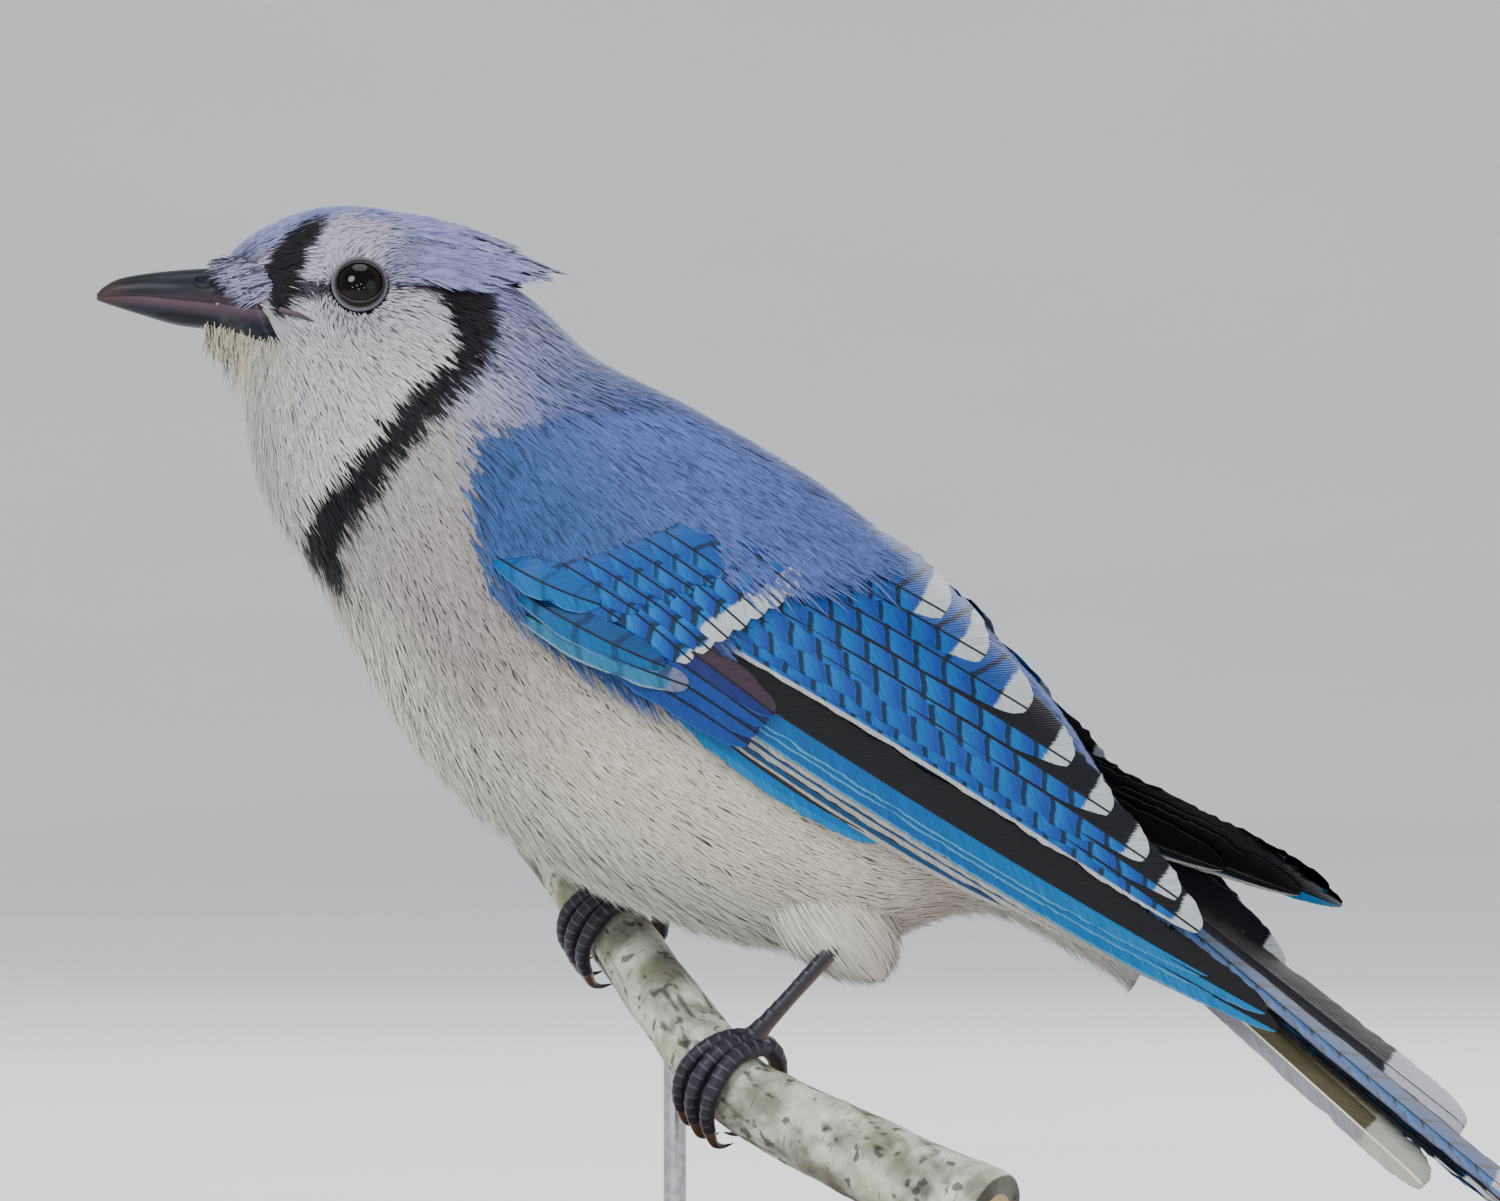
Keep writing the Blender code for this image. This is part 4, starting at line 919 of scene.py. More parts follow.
def tail(looks):
    """Twelve tail feathers, nearest first, in their own gathered fan."""
    axis = np.array((math.cos(TAIL_PITCH), 0.0, -math.sin(TAIL_PITCH)))
    lift = np.array((math.sin(TAIL_PITCH), 0.0, math.cos(TAIL_PITCH)))
    groups = {}
    for place, (side_y, high, roll, low_half, high_half, kind) in enumerate(TAIL_SPREAD):
        length = TAIL_LENGTHS[min(place, 11 - place)]
        angle = math.radians(roll)
        wide = np.array((0.0, 1.0, 0.0)) * math.cos(angle) + lift * math.sin(angle)
        facing = np.cross(wide, axis)
        facing *= 1 if facing @ lift > 0 else -1
        rows = int(length * 0.72 / ROW_STEP)
        t = 0.28 + 0.72 * (1 - (1 - np.linspace(0, 1, rows)) ** 1.2)
        gather = TAIL_GATHER + (1 - TAIL_GATHER) * t
        root = np.array((TAIL_ROOT[0], 0.0, TAIL_ROOT[1]))
        centre = root + axis * (length * t)[:, None] + (
            np.array((0.0, side_y, 0.0)) + lift * high) * gather[:, None]
        end = rounded(t, 0.09)
        growth = np.interp(t, (0.3, 0.7, 1.0), (0.66, 1.0, 1.0)) * end
        widths = (low_half * growth + 0.03, high_half * growth + 0.03)

        def put(points, height, facing=facing):
            return points + facing * height[:, None]

        groups.setdefault(kind, []).append(vane(centre, np.tile(wide, (rows, 1)), widths,
                                                np.zeros(rows), put, 80 + place, flip=place > 5))
    return [joined(kind + "_feathers", parts, looks[kind])
            for kind, parts in groups.items()]


# Crest: rows of loose feathers (root x, z, tip x, z, root and tip half spread, count)
CREST_ROWS = (
    (-57.5, 165.4, -40.0, 162.3, 5.0, 3.0, 8),
    (-54.5, 165.6, -33.5, 159.8, 5.6, 2.6, 9),
    (-53.5, 164.6, -26.5, 156.2, 5.4, 2.4, 9),
    (-52.0, 162.6, -28.5, 155.4, 8.4, 3.4, 10),
    (-50.0, 160.8, -32.5, 155.3, 9.4, 4.6, 8),
    (-48.5, 158.6, -37.0, 154.6, 10.8, 7.8, 7),
)
CREST_ARCH = 1.1
CREST_BARBS = 130
CREST_LIFT = 0.8


def crest(look):
    """Loose-webbed feathers of the swept-back crest: barbs slant off both sides of each shaft."""
    paths, normals, widths, colours = [], [], [], []
    for rx, rz, tx, tz, root_half, tip_half, count in CREST_ROWS:
        for k in range(count):
            spread = (2 * k / (count - 1) - 1) + draw.uniform(-0.06, 0.06)
            end = draw.uniform(0.9, 1.0) - 0.18 * abs(spread)
            root = np.array((rx + draw.uniform(-1.5, 1.5), root_half * spread, rz - 1.6 * spread ** 2))
            tip = np.array((rx + (tx - rx) * end, tip_half * spread,
                            rz + (tz - rz) * end - 0.7 * spread ** 2 + draw.uniform(-0.4, 0.4)))
            out = unit(np.array((0.25, 0.9 * spread, 1.15 - 0.75 * abs(spread))))
            forward = unit(tip - root)
            across = unit(np.cross(out, forward))
            length = np.linalg.norm(tip - root)
            start = draw.uniform(0.05, 0.97, CREST_BARBS)
            hand = np.where(draw.random(CREST_BARBS) < 0.5, -1.0, 1.0)
            reach = draw.uniform(4.2, 6.0, CREST_BARBS) * (1 - 0.55 * start)
            slant = np.radians(draw.uniform(9, 22, CREST_BARBS)) * (1 - 0.5 * start)
            steps = []
            for t in np.linspace(0, 1, 4):
                s = start + reach * np.cos(slant) * t / length
                here = root + (tip - root) * s[:, None]
                arch = CREST_ARCH * 4 * s * (1 - np.minimum(s, 1.0))
                side = hand * reach * np.sin(slant) * t ** 0.8
                droop = -0.06 * side ** 2
                rise = arch + droop + CREST_LIFT * s - 0.35 * (1 - t) + draw.uniform(-0.05, 0.05, CREST_BARBS)
                steps.append(here + across * side[:, None] + out * rise[:, None])
            paths.append(np.stack(steps, axis=1))
            normals.append(np.tile(out, (CREST_BARBS, 1)))
            widths.append(draw.uniform(0.2, 0.34, CREST_BARBS))
            base = CREST * draw.uniform(0.85, 1.12)
            light = smooth(start, 0.5, 1.0) * 0.3 + 0.2 * (reach > 4.4)
            tone = blend(np.tile(base, (CREST_BARBS, 1)), CREST_TIP, light)
            tone = tone * np.where(draw.random(CREST_BARBS) < 0.08, 0.55, draw.uniform(0.9, 1.1))[:, None]
            colours.append(tone)
    paths = np.concatenate(paths)
    flat = paths[:, 0]
    at, _, _ = locate(BODY, flat[:, (0, 2)])
    angle = np.where(flat[:, 1] < 0, 0.3, 2 * math.pi - 0.3) + draw.uniform(-0.25, 0.25, len(flat))
    return tufts("coat_crest", paths, np.concatenate(normals), np.concatenate(widths),
                 np.concatenate(colours), body_unwrap(at, angle), look)


# Bill, bristles and eyes

# Columns: x, culmen z, cutting edge z, lower z, half width of the upper and of the lower half
BILL = np.array([
    (-65.6, 157.6, 151.4, 146.6, 9.6, 9.9),
    (-69.0, 157.8, 151.8, 147.3, 8.2, 8.5),
    (-73.0, 158.0, 152.4, 148.6, 5.6, 5.9),
    (-77.35, 158.0, 153.2, 149.3, 4.3, 3.9),
    (-82.3, 157.7, 153.7, 150.0, 3.6, 3.25),
    (-86.8, 157.2, 154.1, 151.3, 2.7, 2.45),
    (-90.3, 156.5, 154.1, 152.4, 1.8, 1.6),
    (-92.4, 155.4, 154.0, 153.1, 1.0, 0.9),
    (-93.4, 154.4, 153.9, 153.5, 0.4, 0.35),
])
BILL_RINGS = 90
BILL_SIDES = 36
MOUTH_GAP = 0.015
BILL_RELIEF = 0.12
NOSTRIL_SPOT = np.array((-77.9, 156.1))
NOSTRIL_HALVES = (1.3, 0.6)
MOUTH_LINE = ((-67.3, 152.0), (-65.9, 151.6), (-64.2, 151.0), (-62.5, 150.3))


def bill_half(name, upper, look):
    """One half of the bill, from inside the face to the tip, flat where the two meet."""
    rows = spline(BILL, np.linspace(1.0 if upper else 0.0, len(BILL) - 1, BILL_RINGS))
    x, culmen, cut, low, wide, narrow = [column[:, None] for column in rows.T]
    a = np.linspace(0, math.pi, BILL_SIDES)[None]
    deep = smooth(x, -80.0, -70.0)
    if upper:
        flat = cut + MOUTH_GAP
        rise = np.maximum(culmen - flat, 0.3)
        half = wide
    else:
        flat = cut - MOUTH_GAP
        rise = np.minimum(low - flat, -0.25)
        half = narrow
    power = 1.0 - 0.45 * deep
    y = -half * np.sign(np.cos(a)) * np.abs(np.cos(a)) ** power
    # A low keel runs along the culmen and the cutting edges turn in slightly
    z = flat + rise * np.sin(a) ** 0.85
    y = y * (1 - 0.05 * np.exp(-(np.sin(a) / 0.12) ** 2))
    if upper:
        pit = np.hypot((x - NOSTRIL_SPOT[0]) / NOSTRIL_HALVES[0], (z - NOSTRIL_SPOT[1]) / NOSTRIL_HALVES[1])
        y = y * (1 - 0.22 * np.exp(-pit ** 4))
    # Behind its base the bill lies on the face
    flat_x = np.broadcast_to(x, y.shape)
    face = depth(BODY, np.stack([np.maximum(flat_x, -76.8).ravel(), z.ravel()], axis=1)).reshape(y.shape)
    on_face = smooth(flat_x, -77.2, -74.5) * (np.abs(np.cos(a)) > 0.04)
    sink = (BILL_RELIEF + 1.8) * smooth(flat_x + 0.4 * (z - 148.5), -69.6, -66.4)
    y = y * (1 - on_face) + np.sign(y) * (face + BILL_RELIEF - sink) * on_face
    rings = np.stack([flat_x, y, z], axis=-1)
    points, faces = capped(rings)
    made = make_object(name, points, faces, look)
    outward(made)
    made.data.set_sharp_from_angle(angle=math.radians(50))
    return made


def bill_reach(x, z):
    """Half width of the bill at profile points over its upper half."""
    rows = BILL[::-1]
    culmen = np.interp(x, rows[:, 0], rows[:, 1])
    cut = np.interp(x, rows[:, 0], rows[:, 2])
    wide = np.interp(x, rows[:, 0], rows[:, 4])
    high = np.clip((z - cut) / np.maximum(culmen - cut, 0.3), 0.0, 1.0)
    return wide * np.sqrt(np.maximum(1 - high ** 2.3, 0.0))


def outward(made):
    """Turn all faces of a closed piece outward."""
    bm = bmesh.new()
    bm.from_mesh(made.data)
    bmesh.ops.recalc_face_normals(bm, faces=bm.faces)
    bm.to_mesh(made.data)
    bm.free()


def hair(name, root, middle, tip, widths, colours, look, slot, sheet):
    """Curved bristles through three points each."""
    paths = []
    for t in np.linspace(0, 1, 5):
        paths.append(root * (1 - t) ** 2 + middle * 2 * t * (1 - t) + tip * t ** 2)
    paths = np.stack(paths, axis=1)
    out = np.zeros_like(root)
    out[:, 1] = np.sign(root[:, 1])
    out[:, 2] = 0.25
    return tufts(name, paths, unit(out), widths, colours, sheet, look, (1.0, 0.9, 0.7, 0.45))


NASAL_BRISTLES = 850
NASAL_ROOTS = ((-72.4, 159.4), (-69.0, 157.9), (-68.2, 155.7), (-68.7, 153.6))
NASAL_TIPS = ((-78.0, 158.6), (-77.0, 156.4), (-75.8, 154.7), (-73.2, 152.7))
CHIN_BRISTLES = 1500
CHIN_ROOTS = ((-78.0, 149.4), (-74.4, 149.1), (-70.1, 148.2), (-66.5, 146.4))
CHIN_TIPS = ((-78.0, 147.5), (-74.1, 144.7), (-71.0, 142.2), (-65.9, 140.5))


def along_line(line, t):
    line = np.asarray(line, dtype=float)
    steps = np.linspace(0, 1, len(line))
    return np.stack([np.interp(t, steps, line[:, 0]), np.interp(t, steps, line[:, 1])], axis=1)


def nasal_bristles(look):
    """Bristles that sweep forward from the forehead and lores over the base of the bill."""
    side = np.where(draw.random(NASAL_BRISTLES) < 0.5, -1.0, 1.0)
    t = draw.random(NASAL_BRISTLES)
    root = along_line(NASAL_ROOTS, t)
    tip = along_line(NASAL_TIPS, np.clip(t + 0.12 * draw.standard_normal(NASAL_BRISTLES), 0, 1))
    push = draw.random(NASAL_BRISTLES)[:, None]
    begin = root + (tip - root) * push * 0.72
    reach = draw.uniform(0.4, 1.05, NASAL_BRISTLES)[:, None]
    end = begin + (tip - root) * reach * (1 - push * 0.72)
    end = end + draw.standard_normal((NASAL_BRISTLES, 2)) * 0.5
    middle = (begin + end) / 2 + np.array((0.3, 0.5))

    def lift(points, height):
        on_face = depth(BODY, np.maximum(points, (-76.9, 0.0)))
        on_bill = bill_reach(points[:, 0], points[:, 1])
        mixed = np.where(points[:, 0] > -76.9, np.maximum(on_face, on_bill), on_bill)
        return np.stack([points[:, 0], side * (mixed + height), points[:, 1]], axis=1)

    dark = draw.random(NASAL_BRISTLES) < 0.22
    dark |= (t < 0.16) & (draw.random(NASAL_BRISTLES) < 0.6)
    colours = np.where(dark[:, None], BRISTLE_DARK, BRISTLE)
    colours = colours * draw.uniform(0.8, 1.15, NASAL_BRISTLES)[:, None]
    sheet = np.stack([0.02 + 0.03 * push[:, 0], 0.5 + 0.3 * side * (0.2 + 0.6 * t)], axis=-1)
    height = draw.uniform(0.25, 0.75, NASAL_BRISTLES)
    return hair("coat_nasal", lift(begin, -0.5 * np.ones(NASAL_BRISTLES)), lift(middle, height + 0.5),
                lift(end, height), draw.uniform(0.16, 0.3, NASAL_BRISTLES), colours, look,
                "feather_head", sheet)


def chin_bristles(look):
    """Fine yellowish hairs under the bill, with a few dark ones."""
    side = np.where(draw.random(CHIN_BRISTLES) < 0.5, -1.0, 1.0)
    t = draw.random(CHIN_BRISTLES)
    root = along_line(CHIN_ROOTS, t) + draw.standard_normal((CHIN_BRISTLES, 2)) * (0.3, 0.3)
    tip = along_line(CHIN_TIPS, np.clip(t + 0.08 * draw.standard_normal(CHIN_BRISTLES), 0, 1))
    tip = root + (tip - root) * (0.25 + 1.9 * draw.random(CHIN_BRISTLES) ** 2)[:, None]
    wide = depth(BODY, np.maximum(root, (-76.5, 0.0)))
    inner = draw.random(CHIN_BRISTLES) ** 0.5
    begin = np.stack([root[:, 0], side * wide * inner, root[:, 1] + 0.4], axis=1)
    end = np.stack([tip[:, 0], side * (wide * inner + 1.2 * draw.random(CHIN_BRISTLES)), tip[:, 1]], axis=1)
    middle = (begin + end) / 2 + np.array((-0.5, 0.0, 0.0)) + np.stack(
        [np.zeros(CHIN_BRISTLES), side * 0.6, np.zeros(CHIN_BRISTLES)], axis=1)
    dark = draw.random(CHIN_BRISTLES) < 0.09
    colours = np.where(dark[:, None], BRISTLE_DARK, CHIN_HAIR) * draw.uniform(
        0.85, 1.1, CHIN_BRISTLES)[:, None]
    sheet = np.stack([0.02 + 0.03 * t, 0.5 + 0.1 * side], axis=-1)
    return hair("coat_chin", begin, middle, end, draw.uniform(0.08, 0.14, CHIN_BRISTLES), colours, look,
                "feather_head", sheet)


LID_HALVES = (3.2, 2.8)
LID_OUTER = 3.95
LID_STEPS = 128
LID_BEADS = 44


def eye_frame(side):
    """Middle of the eyeball and its three axes: forward along the head, up and outward."""
    out = eye_axis(side)
    ahead = unit(np.array((-1.0, 0.0, 0.0)) - out * -out[0])
    up = np.cross(ahead, out) * (1 if side < 0 else -1)
    if up[2] < 0:
        up = -up
    return eye_middle(side), ahead, up, out


def eyeball(side, look):
    """Eyeball with its own axes as an attribute for its look."""
    middle, ahead, up, out = eye_frame(side)
    polar = np.linspace(0.02, math.pi - 0.02, 48)[:, None]
    around = np.linspace(0, 2 * math.pi, 72, endpoint=False)[None]
    radius = EYE_RADIUS - 0.02
    rings = middle + radius * (np.cos(polar)[..., None] * np.ones_like(around)[..., None] * out
                               + (np.sin(polar) * np.cos(around))[..., None] * ahead
                               + (np.sin(polar) * np.sin(around))[..., None] * up)
    points, faces = capped(rings)
    made = make_object("eyeball_left" if side < 0 else "eyeball_right", points, faces, look)
    outward(made)
    local = (points - middle) @ np.stack([ahead, up, out], axis=1)
    set_vectors(made, local, "gaze")
    return made


def lids(side, look):
    """Beaded rim and finely creased skin round the eye."""
    middle, ahead, up, out = eye_frame(side)
    around = np.linspace(0, 2 * math.pi, LID_STEPS * 2, endpoint=False)[:, None]
    inner = LID_HALVES[0] * LID_HALVES[1] / np.hypot(LID_HALVES[1] * np.cos(around),
                                                     LID_HALVES[0] * np.sin(around))
    share = np.array((0.0, 0.04, 0.12, 0.2, 0.27, 0.36, 0.45, 0.55, 0.66, 0.78, 0.9, 1.0))[None]
    reach = inner + (LID_OUTER - inner) * share
    rim = math.sqrt(EYE_RADIUS ** 2 - EYE_OPENING ** 2)
    ball = np.sqrt(np.maximum(EYE_RADIUS ** 2 - reach ** 2, 0.0))
    bead = 0.09 * np.maximum(np.cos(LID_BEADS * around), -0.3) * np.exp(-((share - 0.13) / 0.1) ** 2)
    bulge = 0.3 * np.exp(-((share - 0.12) / 0.1) ** 2)
    crease = 0.07 * np.cos(share * 26.0) * (share > 0.3) * (1 - share)
    crease = crease + 0.05 * np.sin(31 * around + 9 * share) * (share > 0.3) * (1 - share)
    outer = EYE_SINK + rim - 0.1 - 0.25 * smooth(share, 0.3, 1.0)
    base = np.maximum(np.where(share < 0.25, ball, 0.0), outer)
    height = base + bulge + bead + crease + 0.02
    top = np.stack([np.cos(around) * reach, np.sin(around) * reach, height], axis=-1)
    under_height = np.minimum(height - 0.35, ball - 0.12)
    under = np.stack([np.cos(around) * reach, np.sin(around) * reach, under_height], axis=-1)[:, ::-1]
    rings = np.concatenate([top, under], axis=1)
    points = rings.reshape(-1, 3)
    columns = rings.shape[1]
    closed = np.concatenate([rings, rings[:1]], axis=0)
    faces = grid_triangles(len(closed), columns, wrap=True) % len(points)
    local = points
    points = middle + local[:, :1] * ahead + local[:, 1:2] * up + local[:, 2:] * out
    made = make_object("lids_left" if side < 0 else "lids_right", points, faces, look)
    outward(made)
    set_vectors(made, local, "gaze")
    return made


def gape_line(side, look):
    """Dark soft crease that runs back from the corner of the mouth."""
    line = spline(np.array(MOUTH_LINE), np.linspace(0, len(MOUTH_LINE) - 1, 40))
    reach = depth(BODY, line)
    centre = np.stack([line[:, 0], side * (reach - 0.12), line[:, 1]], axis=1)
    radius = 0.42 * np.sqrt(np.maximum(1 - np.linspace(0, 1, 40) ** 2, 0.02))
    rings = round_tube(centre, radius, 12)
    points, faces = capped(rings)
    made = make_object("gape_left" if side < 0 else "gape_right", points, faces, look)
    outward(made)
    return made


def round_tube(centre, radius, sides, guide=(0.0, 1.0, 0.0)):
    """Rings of a round tube along a path of points."""
    forward = unit(np.gradient(centre, axis=0))
    rings = []
    guide = np.array(guide, dtype=float)
    a = 2 * math.pi * (np.arange(sides) + 0.5) / sides
    for k in range(len(centre)):
        side = unit(guide - forward[k] * (guide @ forward[k]))
        up = np.cross(forward[k], side)
        guide = side
        rings.append(centre[k] + radius[k] * (np.cos(a)[:, None] * side + np.sin(a)[:, None] * up))
    return np.array(rings)


# Branch, feet and claws

PERCH = np.array([
    (-36.5, 46.0, 85.5, 4.8),
    (-31.2, 38.0, 78.8, 4.8),
    (-25.8, 30.0, 71.6, 4.8),
    (-20.4, 21.0, 64.1, 4.8),
    (-12.0, 4.5, 53.0, 5.0),
    (-3.5, -12.5, 42.9, 5.3),
    (9.9, -22.0, 35.8, 5.8),
    (22.0, -30.0, 30.2, 6.1),
    (32.5, -37.0, 25.6, 6.3),
])
FEET = {
    "right": (3.0, np.array((-13.5, 20.5, 78.5))),
    "left": (5.0, np.array((10.0, -13.5, 62.0))),
}
GRIP = 0.3
PAD_HEIGHT = 2.0
FRONT_TOES = ((-3.4, 1.25), (0.0, 1.35), (3.4, 1.25))
HIND_TOE_RADIUS = 1.5
HIND_TOE_LIFT = 1.75
TOE_RINGS = 64
TOE_SIDES = 20


def perch_frame(at):
    """Centre, radius and three axes of the branch: along it, to its side and up."""
    row = spline(PERCH, at)
    along = unit(spline(PERCH, at + 0.05)[:3] - spline(PERCH, at - 0.05)[:3])
    up = unit(np.array((0.0, 0.0, 1.0)) - along * along[2])
    return row[:3], row[3], along, np.cross(along, up), up


def toe_path(at, spread, start, end, lift, fan, steps):
    """Points that wrap round the branch, angles in degrees from its top to the front."""
    middle, radius, along, side, up = perch_frame(at)
    front = side if side[0] < 0 else -side
    t = np.linspace(0, 1, steps)
    lift = np.interp(t, np.linspace(0, 1, len(lift)), lift)
    shift = spread * (fan + (1 - fan) * np.minimum(t * 1.6, 1.0))
    a = np.radians(start + (end - start) * t)
    ray = np.cos(a)[:, None] * up + np.sin(a)[:, None] * front
    return middle + shift[:, None] * along + (radius + lift + GRIP)[:, None] * ray, ray


def shank_line(which):
    """Lower end and direction of one lower leg."""
    at, ankle = FEET[which]
    middle, radius, _, _, up = perch_frame(at)
    top = middle + up * (radius + PAD_HEIGHT)
    return top, unit(ankle - top)


def scaly_tube(centre, ray, radius, scutes, pads):
    """Toe with overlapping scutes along its outer side and pads under its joints."""
    t = np.linspace(0, 1, len(centre))
    rings = round_tube(centre, np.ones(len(centre)), TOE_SIDES)
    out = []
    for k in range(len(centre)):
        way = rings[k] - centre[k]
        outer = way @ ray[k]
        step = (t[k] * scutes) % 1.0
        plate = 0.1 * (step ** 3) * smooth(outer, 0.0, 0.5)
        joint = 0.16 * abs(math.sin(math.pi * t[k] * pads)) * smooth(-outer, 0.1, 0.7)
        flat = 1 - 0.1 * smooth(-outer, 0.5, 1.0)
        out.append(centre[k] + way * (radius[k] * (0.96 + plate + joint) * flat)[:, None])
    return np.array(out)


def foot(which, look):
    """Toes that grip the branch, with the lower leg that joins them."""
    at, ankle = FEET[which]
    points, faces, local = [], [], []
    total = 0
    strips = []
    for spread, radius in FRONT_TOES:
        centre, ray = toe_path(at, spread, -14.0, 132.0, [radius * 1.25] * 2, 0.35, TOE_RINGS)
        strips.append((centre, ray, radius * np.linspace(1.12, 0.8, TOE_RINGS), 13, 3))
    centre, ray = toe_path(at, 0.0, 14.0, -122.0, [HIND_TOE_LIFT] * 2, 0.35, TOE_RINGS)
    strips.append((centre, ray, HIND_TOE_RADIUS * np.linspace(1.1, 0.82, TOE_RINGS), 9, 2))
    top, toward = shank_line(which)
    low = top - toward * 0.6
    high = ankle + toward * 3.0
    t = np.linspace(0, 1, TOE_RINGS)
    reach = np.linalg.norm(high - low) * t
    centre = low + (high - low) * t[:, None]
    swell = np.interp(reach, (0.0, 1.6, 4.2, 9.0, 30.0), (1.9, 1.75, 1.35, 1.2, 1.4))
    front = unit(np.array((-1.0, 0.0, 0.0)) - toward * -toward[0])
    strips.append((centre, np.tile(front, (TOE_RINGS, 1)), swell, int(reach[-1] / 1.8), 0))
    for centre, ray, radius, scutes, pads in strips:
        rings = scaly_tube(centre, ray, radius, scutes, pads)
        more, extra = capped(rings)
        a = 2 * math.pi * (np.arange(TOE_SIDES) + 0.5) / TOE_SIDES
        way = rings - centre[:, None]
        outer = np.einsum("kjc,kc->kj", way, ray) / radius[:, None]
        trait = np.stack([np.repeat(np.linspace(0, scutes, TOE_RINGS), TOE_SIDES), outer.ravel(),
                          np.tile(a, TOE_RINGS)], axis=-1)
        trait = np.vstack([trait, trait[:1], trait[-1:]])
        points.append(more)
        faces.append(extra + total)
        local.append(trait)
        total += len(more)
    made = make_object("scaly_foot_" + which, np.vstack(points), np.vstack(faces), look)
    outward(made)
    set_vectors(made, np.vstack(local), "scale")
    return made


def claw(which, number, look):
    at = FEET[which][0]
    if number < len(FRONT_TOES):
        spread, radius = FRONT_TOES[number]
        start, end, root = 129.0, 178.0, radius * 0.74
        lift = [radius * r for r in (1.25, 1.5, 1.9, 1.7, 1.1)]
    else:
        spread = 0.0
        start, end, root = -119.0, -175.0, 1.05
        lift = [HIND_TOE_LIFT, 2.2, 2.5, 2.2, 1.5]
    centre, _ = toe_path(at, spread, start, end, lift, 1.0, 30)
    t = np.linspace(0, 1, 30)
    smoothed = centre.copy()
    for _ in range(6):
        smoothed[1:-1] = (smoothed[:-2] + 2 * smoothed[1:-1] + smoothed[2:]) / 4
    rings = round_tube(smoothed, root * (1 - 0.93 * t ** 1.25), 16)
    points, faces = capped(rings)
    made = make_object("nail_%s_%d" % (which, number + 1), points, faces, look)
    outward(made)
    trait = np.stack([np.append(np.repeat(t, 16), (0.0, 1.0)), np.zeros(len(points)),
                      np.zeros(len(points))], axis=-1)
    set_vectors(made, trait, "scale")
    return made


# Rough distance between two rows of the branch, which places its bark and knots
PERCH_STEP = 14.0
BARK_RINGS = 300
BARK_SIDES = 72
KNOTS = ((4.55, 1.1, 1.3, 0.9), (6.9, 2.3, 1.6, -0.6), (7.3, 5.2, 1.1, 0.5), (1.6, 3.6, 1.4, 0.7))


def waves(u, v, count, scale, rng):
    """Smooth seamless field round a branch, v in radians."""
    total = np.zeros(np.broadcast(u, v).shape)
    for _ in range(count):
        turns = rng.integers(-int(scale * 1.2), int(scale * 1.2) + 1)
        rate = rng.uniform(-1, 1) * scale
        total += np.sin(u * rate + v * turns + rng.uniform(0, 6.28))
    return total / math.sqrt(count)


def branch(look):
    """Cut length of branch with bark relief, lenticels and a few knots."""
    rng = np.random.default_rng(SEED + 3)
    at = np.linspace(0, len(PERCH) - 1, BARK_RINGS)
    a = np.linspace(0, 2 * math.pi, BARK_SIDES, endpoint=False)
    u = at[:, None] * PERCH_STEP / 6.0
    v = a[None]
    relief = 0.10 * waves(u, v, 9, 2.5, rng) + 0.07 * waves(u, v, 12, 7.0, rng)
    relief = relief + 0.045 * waves(u, v, 14, 16.0, rng)
    crack = waves(u * 0.4, v, 12, 9.0, rng)
    relief = relief - 0.22 * np.exp(-(crack / 0.16) ** 2) * (waves(u, v, 8, 3.0, rng) > 0.1)
    for row, angle, size, high in KNOTS:
        gap = np.hypot((at[:, None] - row) * PERCH_STEP, 5.2 * np.angle(np.exp(1j * (v - angle))))
        relief = relief + high * (np.exp(-(gap / size) ** 2) - 0.75 * np.exp(-(gap / size * 2.2) ** 2))
    ends = np.minimum(at, len(PERCH) - 1 - at)[:, None] * PERCH_STEP
    relief = relief - 0.5 * np.exp(-(ends / 0.35) ** 2)
    rings = []
    for k, row in enumerate(at):
        middle, radius, _, side, up = perch_frame(row)
        reach = (radius + relief[k])[:, None]
        rings.append(middle + reach * (side * np.cos(a)[:, None] + up * np.sin(a)[:, None]))
    points, faces = capped(np.array(rings))
    made = make_object("branch", points, faces, look)
    outward(made)
    along = np.repeat(at * PERCH_STEP, BARK_SIDES)
    trait = np.stack([along, np.tile(a, BARK_RINGS), relief.ravel()], axis=-1)
    cut = [(0.0, 0.0, -9.0), ((len(PERCH) - 1) * PERCH_STEP, 0.0, -9.0)]
    set_vectors(made, np.vstack([trait, cut]), "scale")
    return made


# Looks

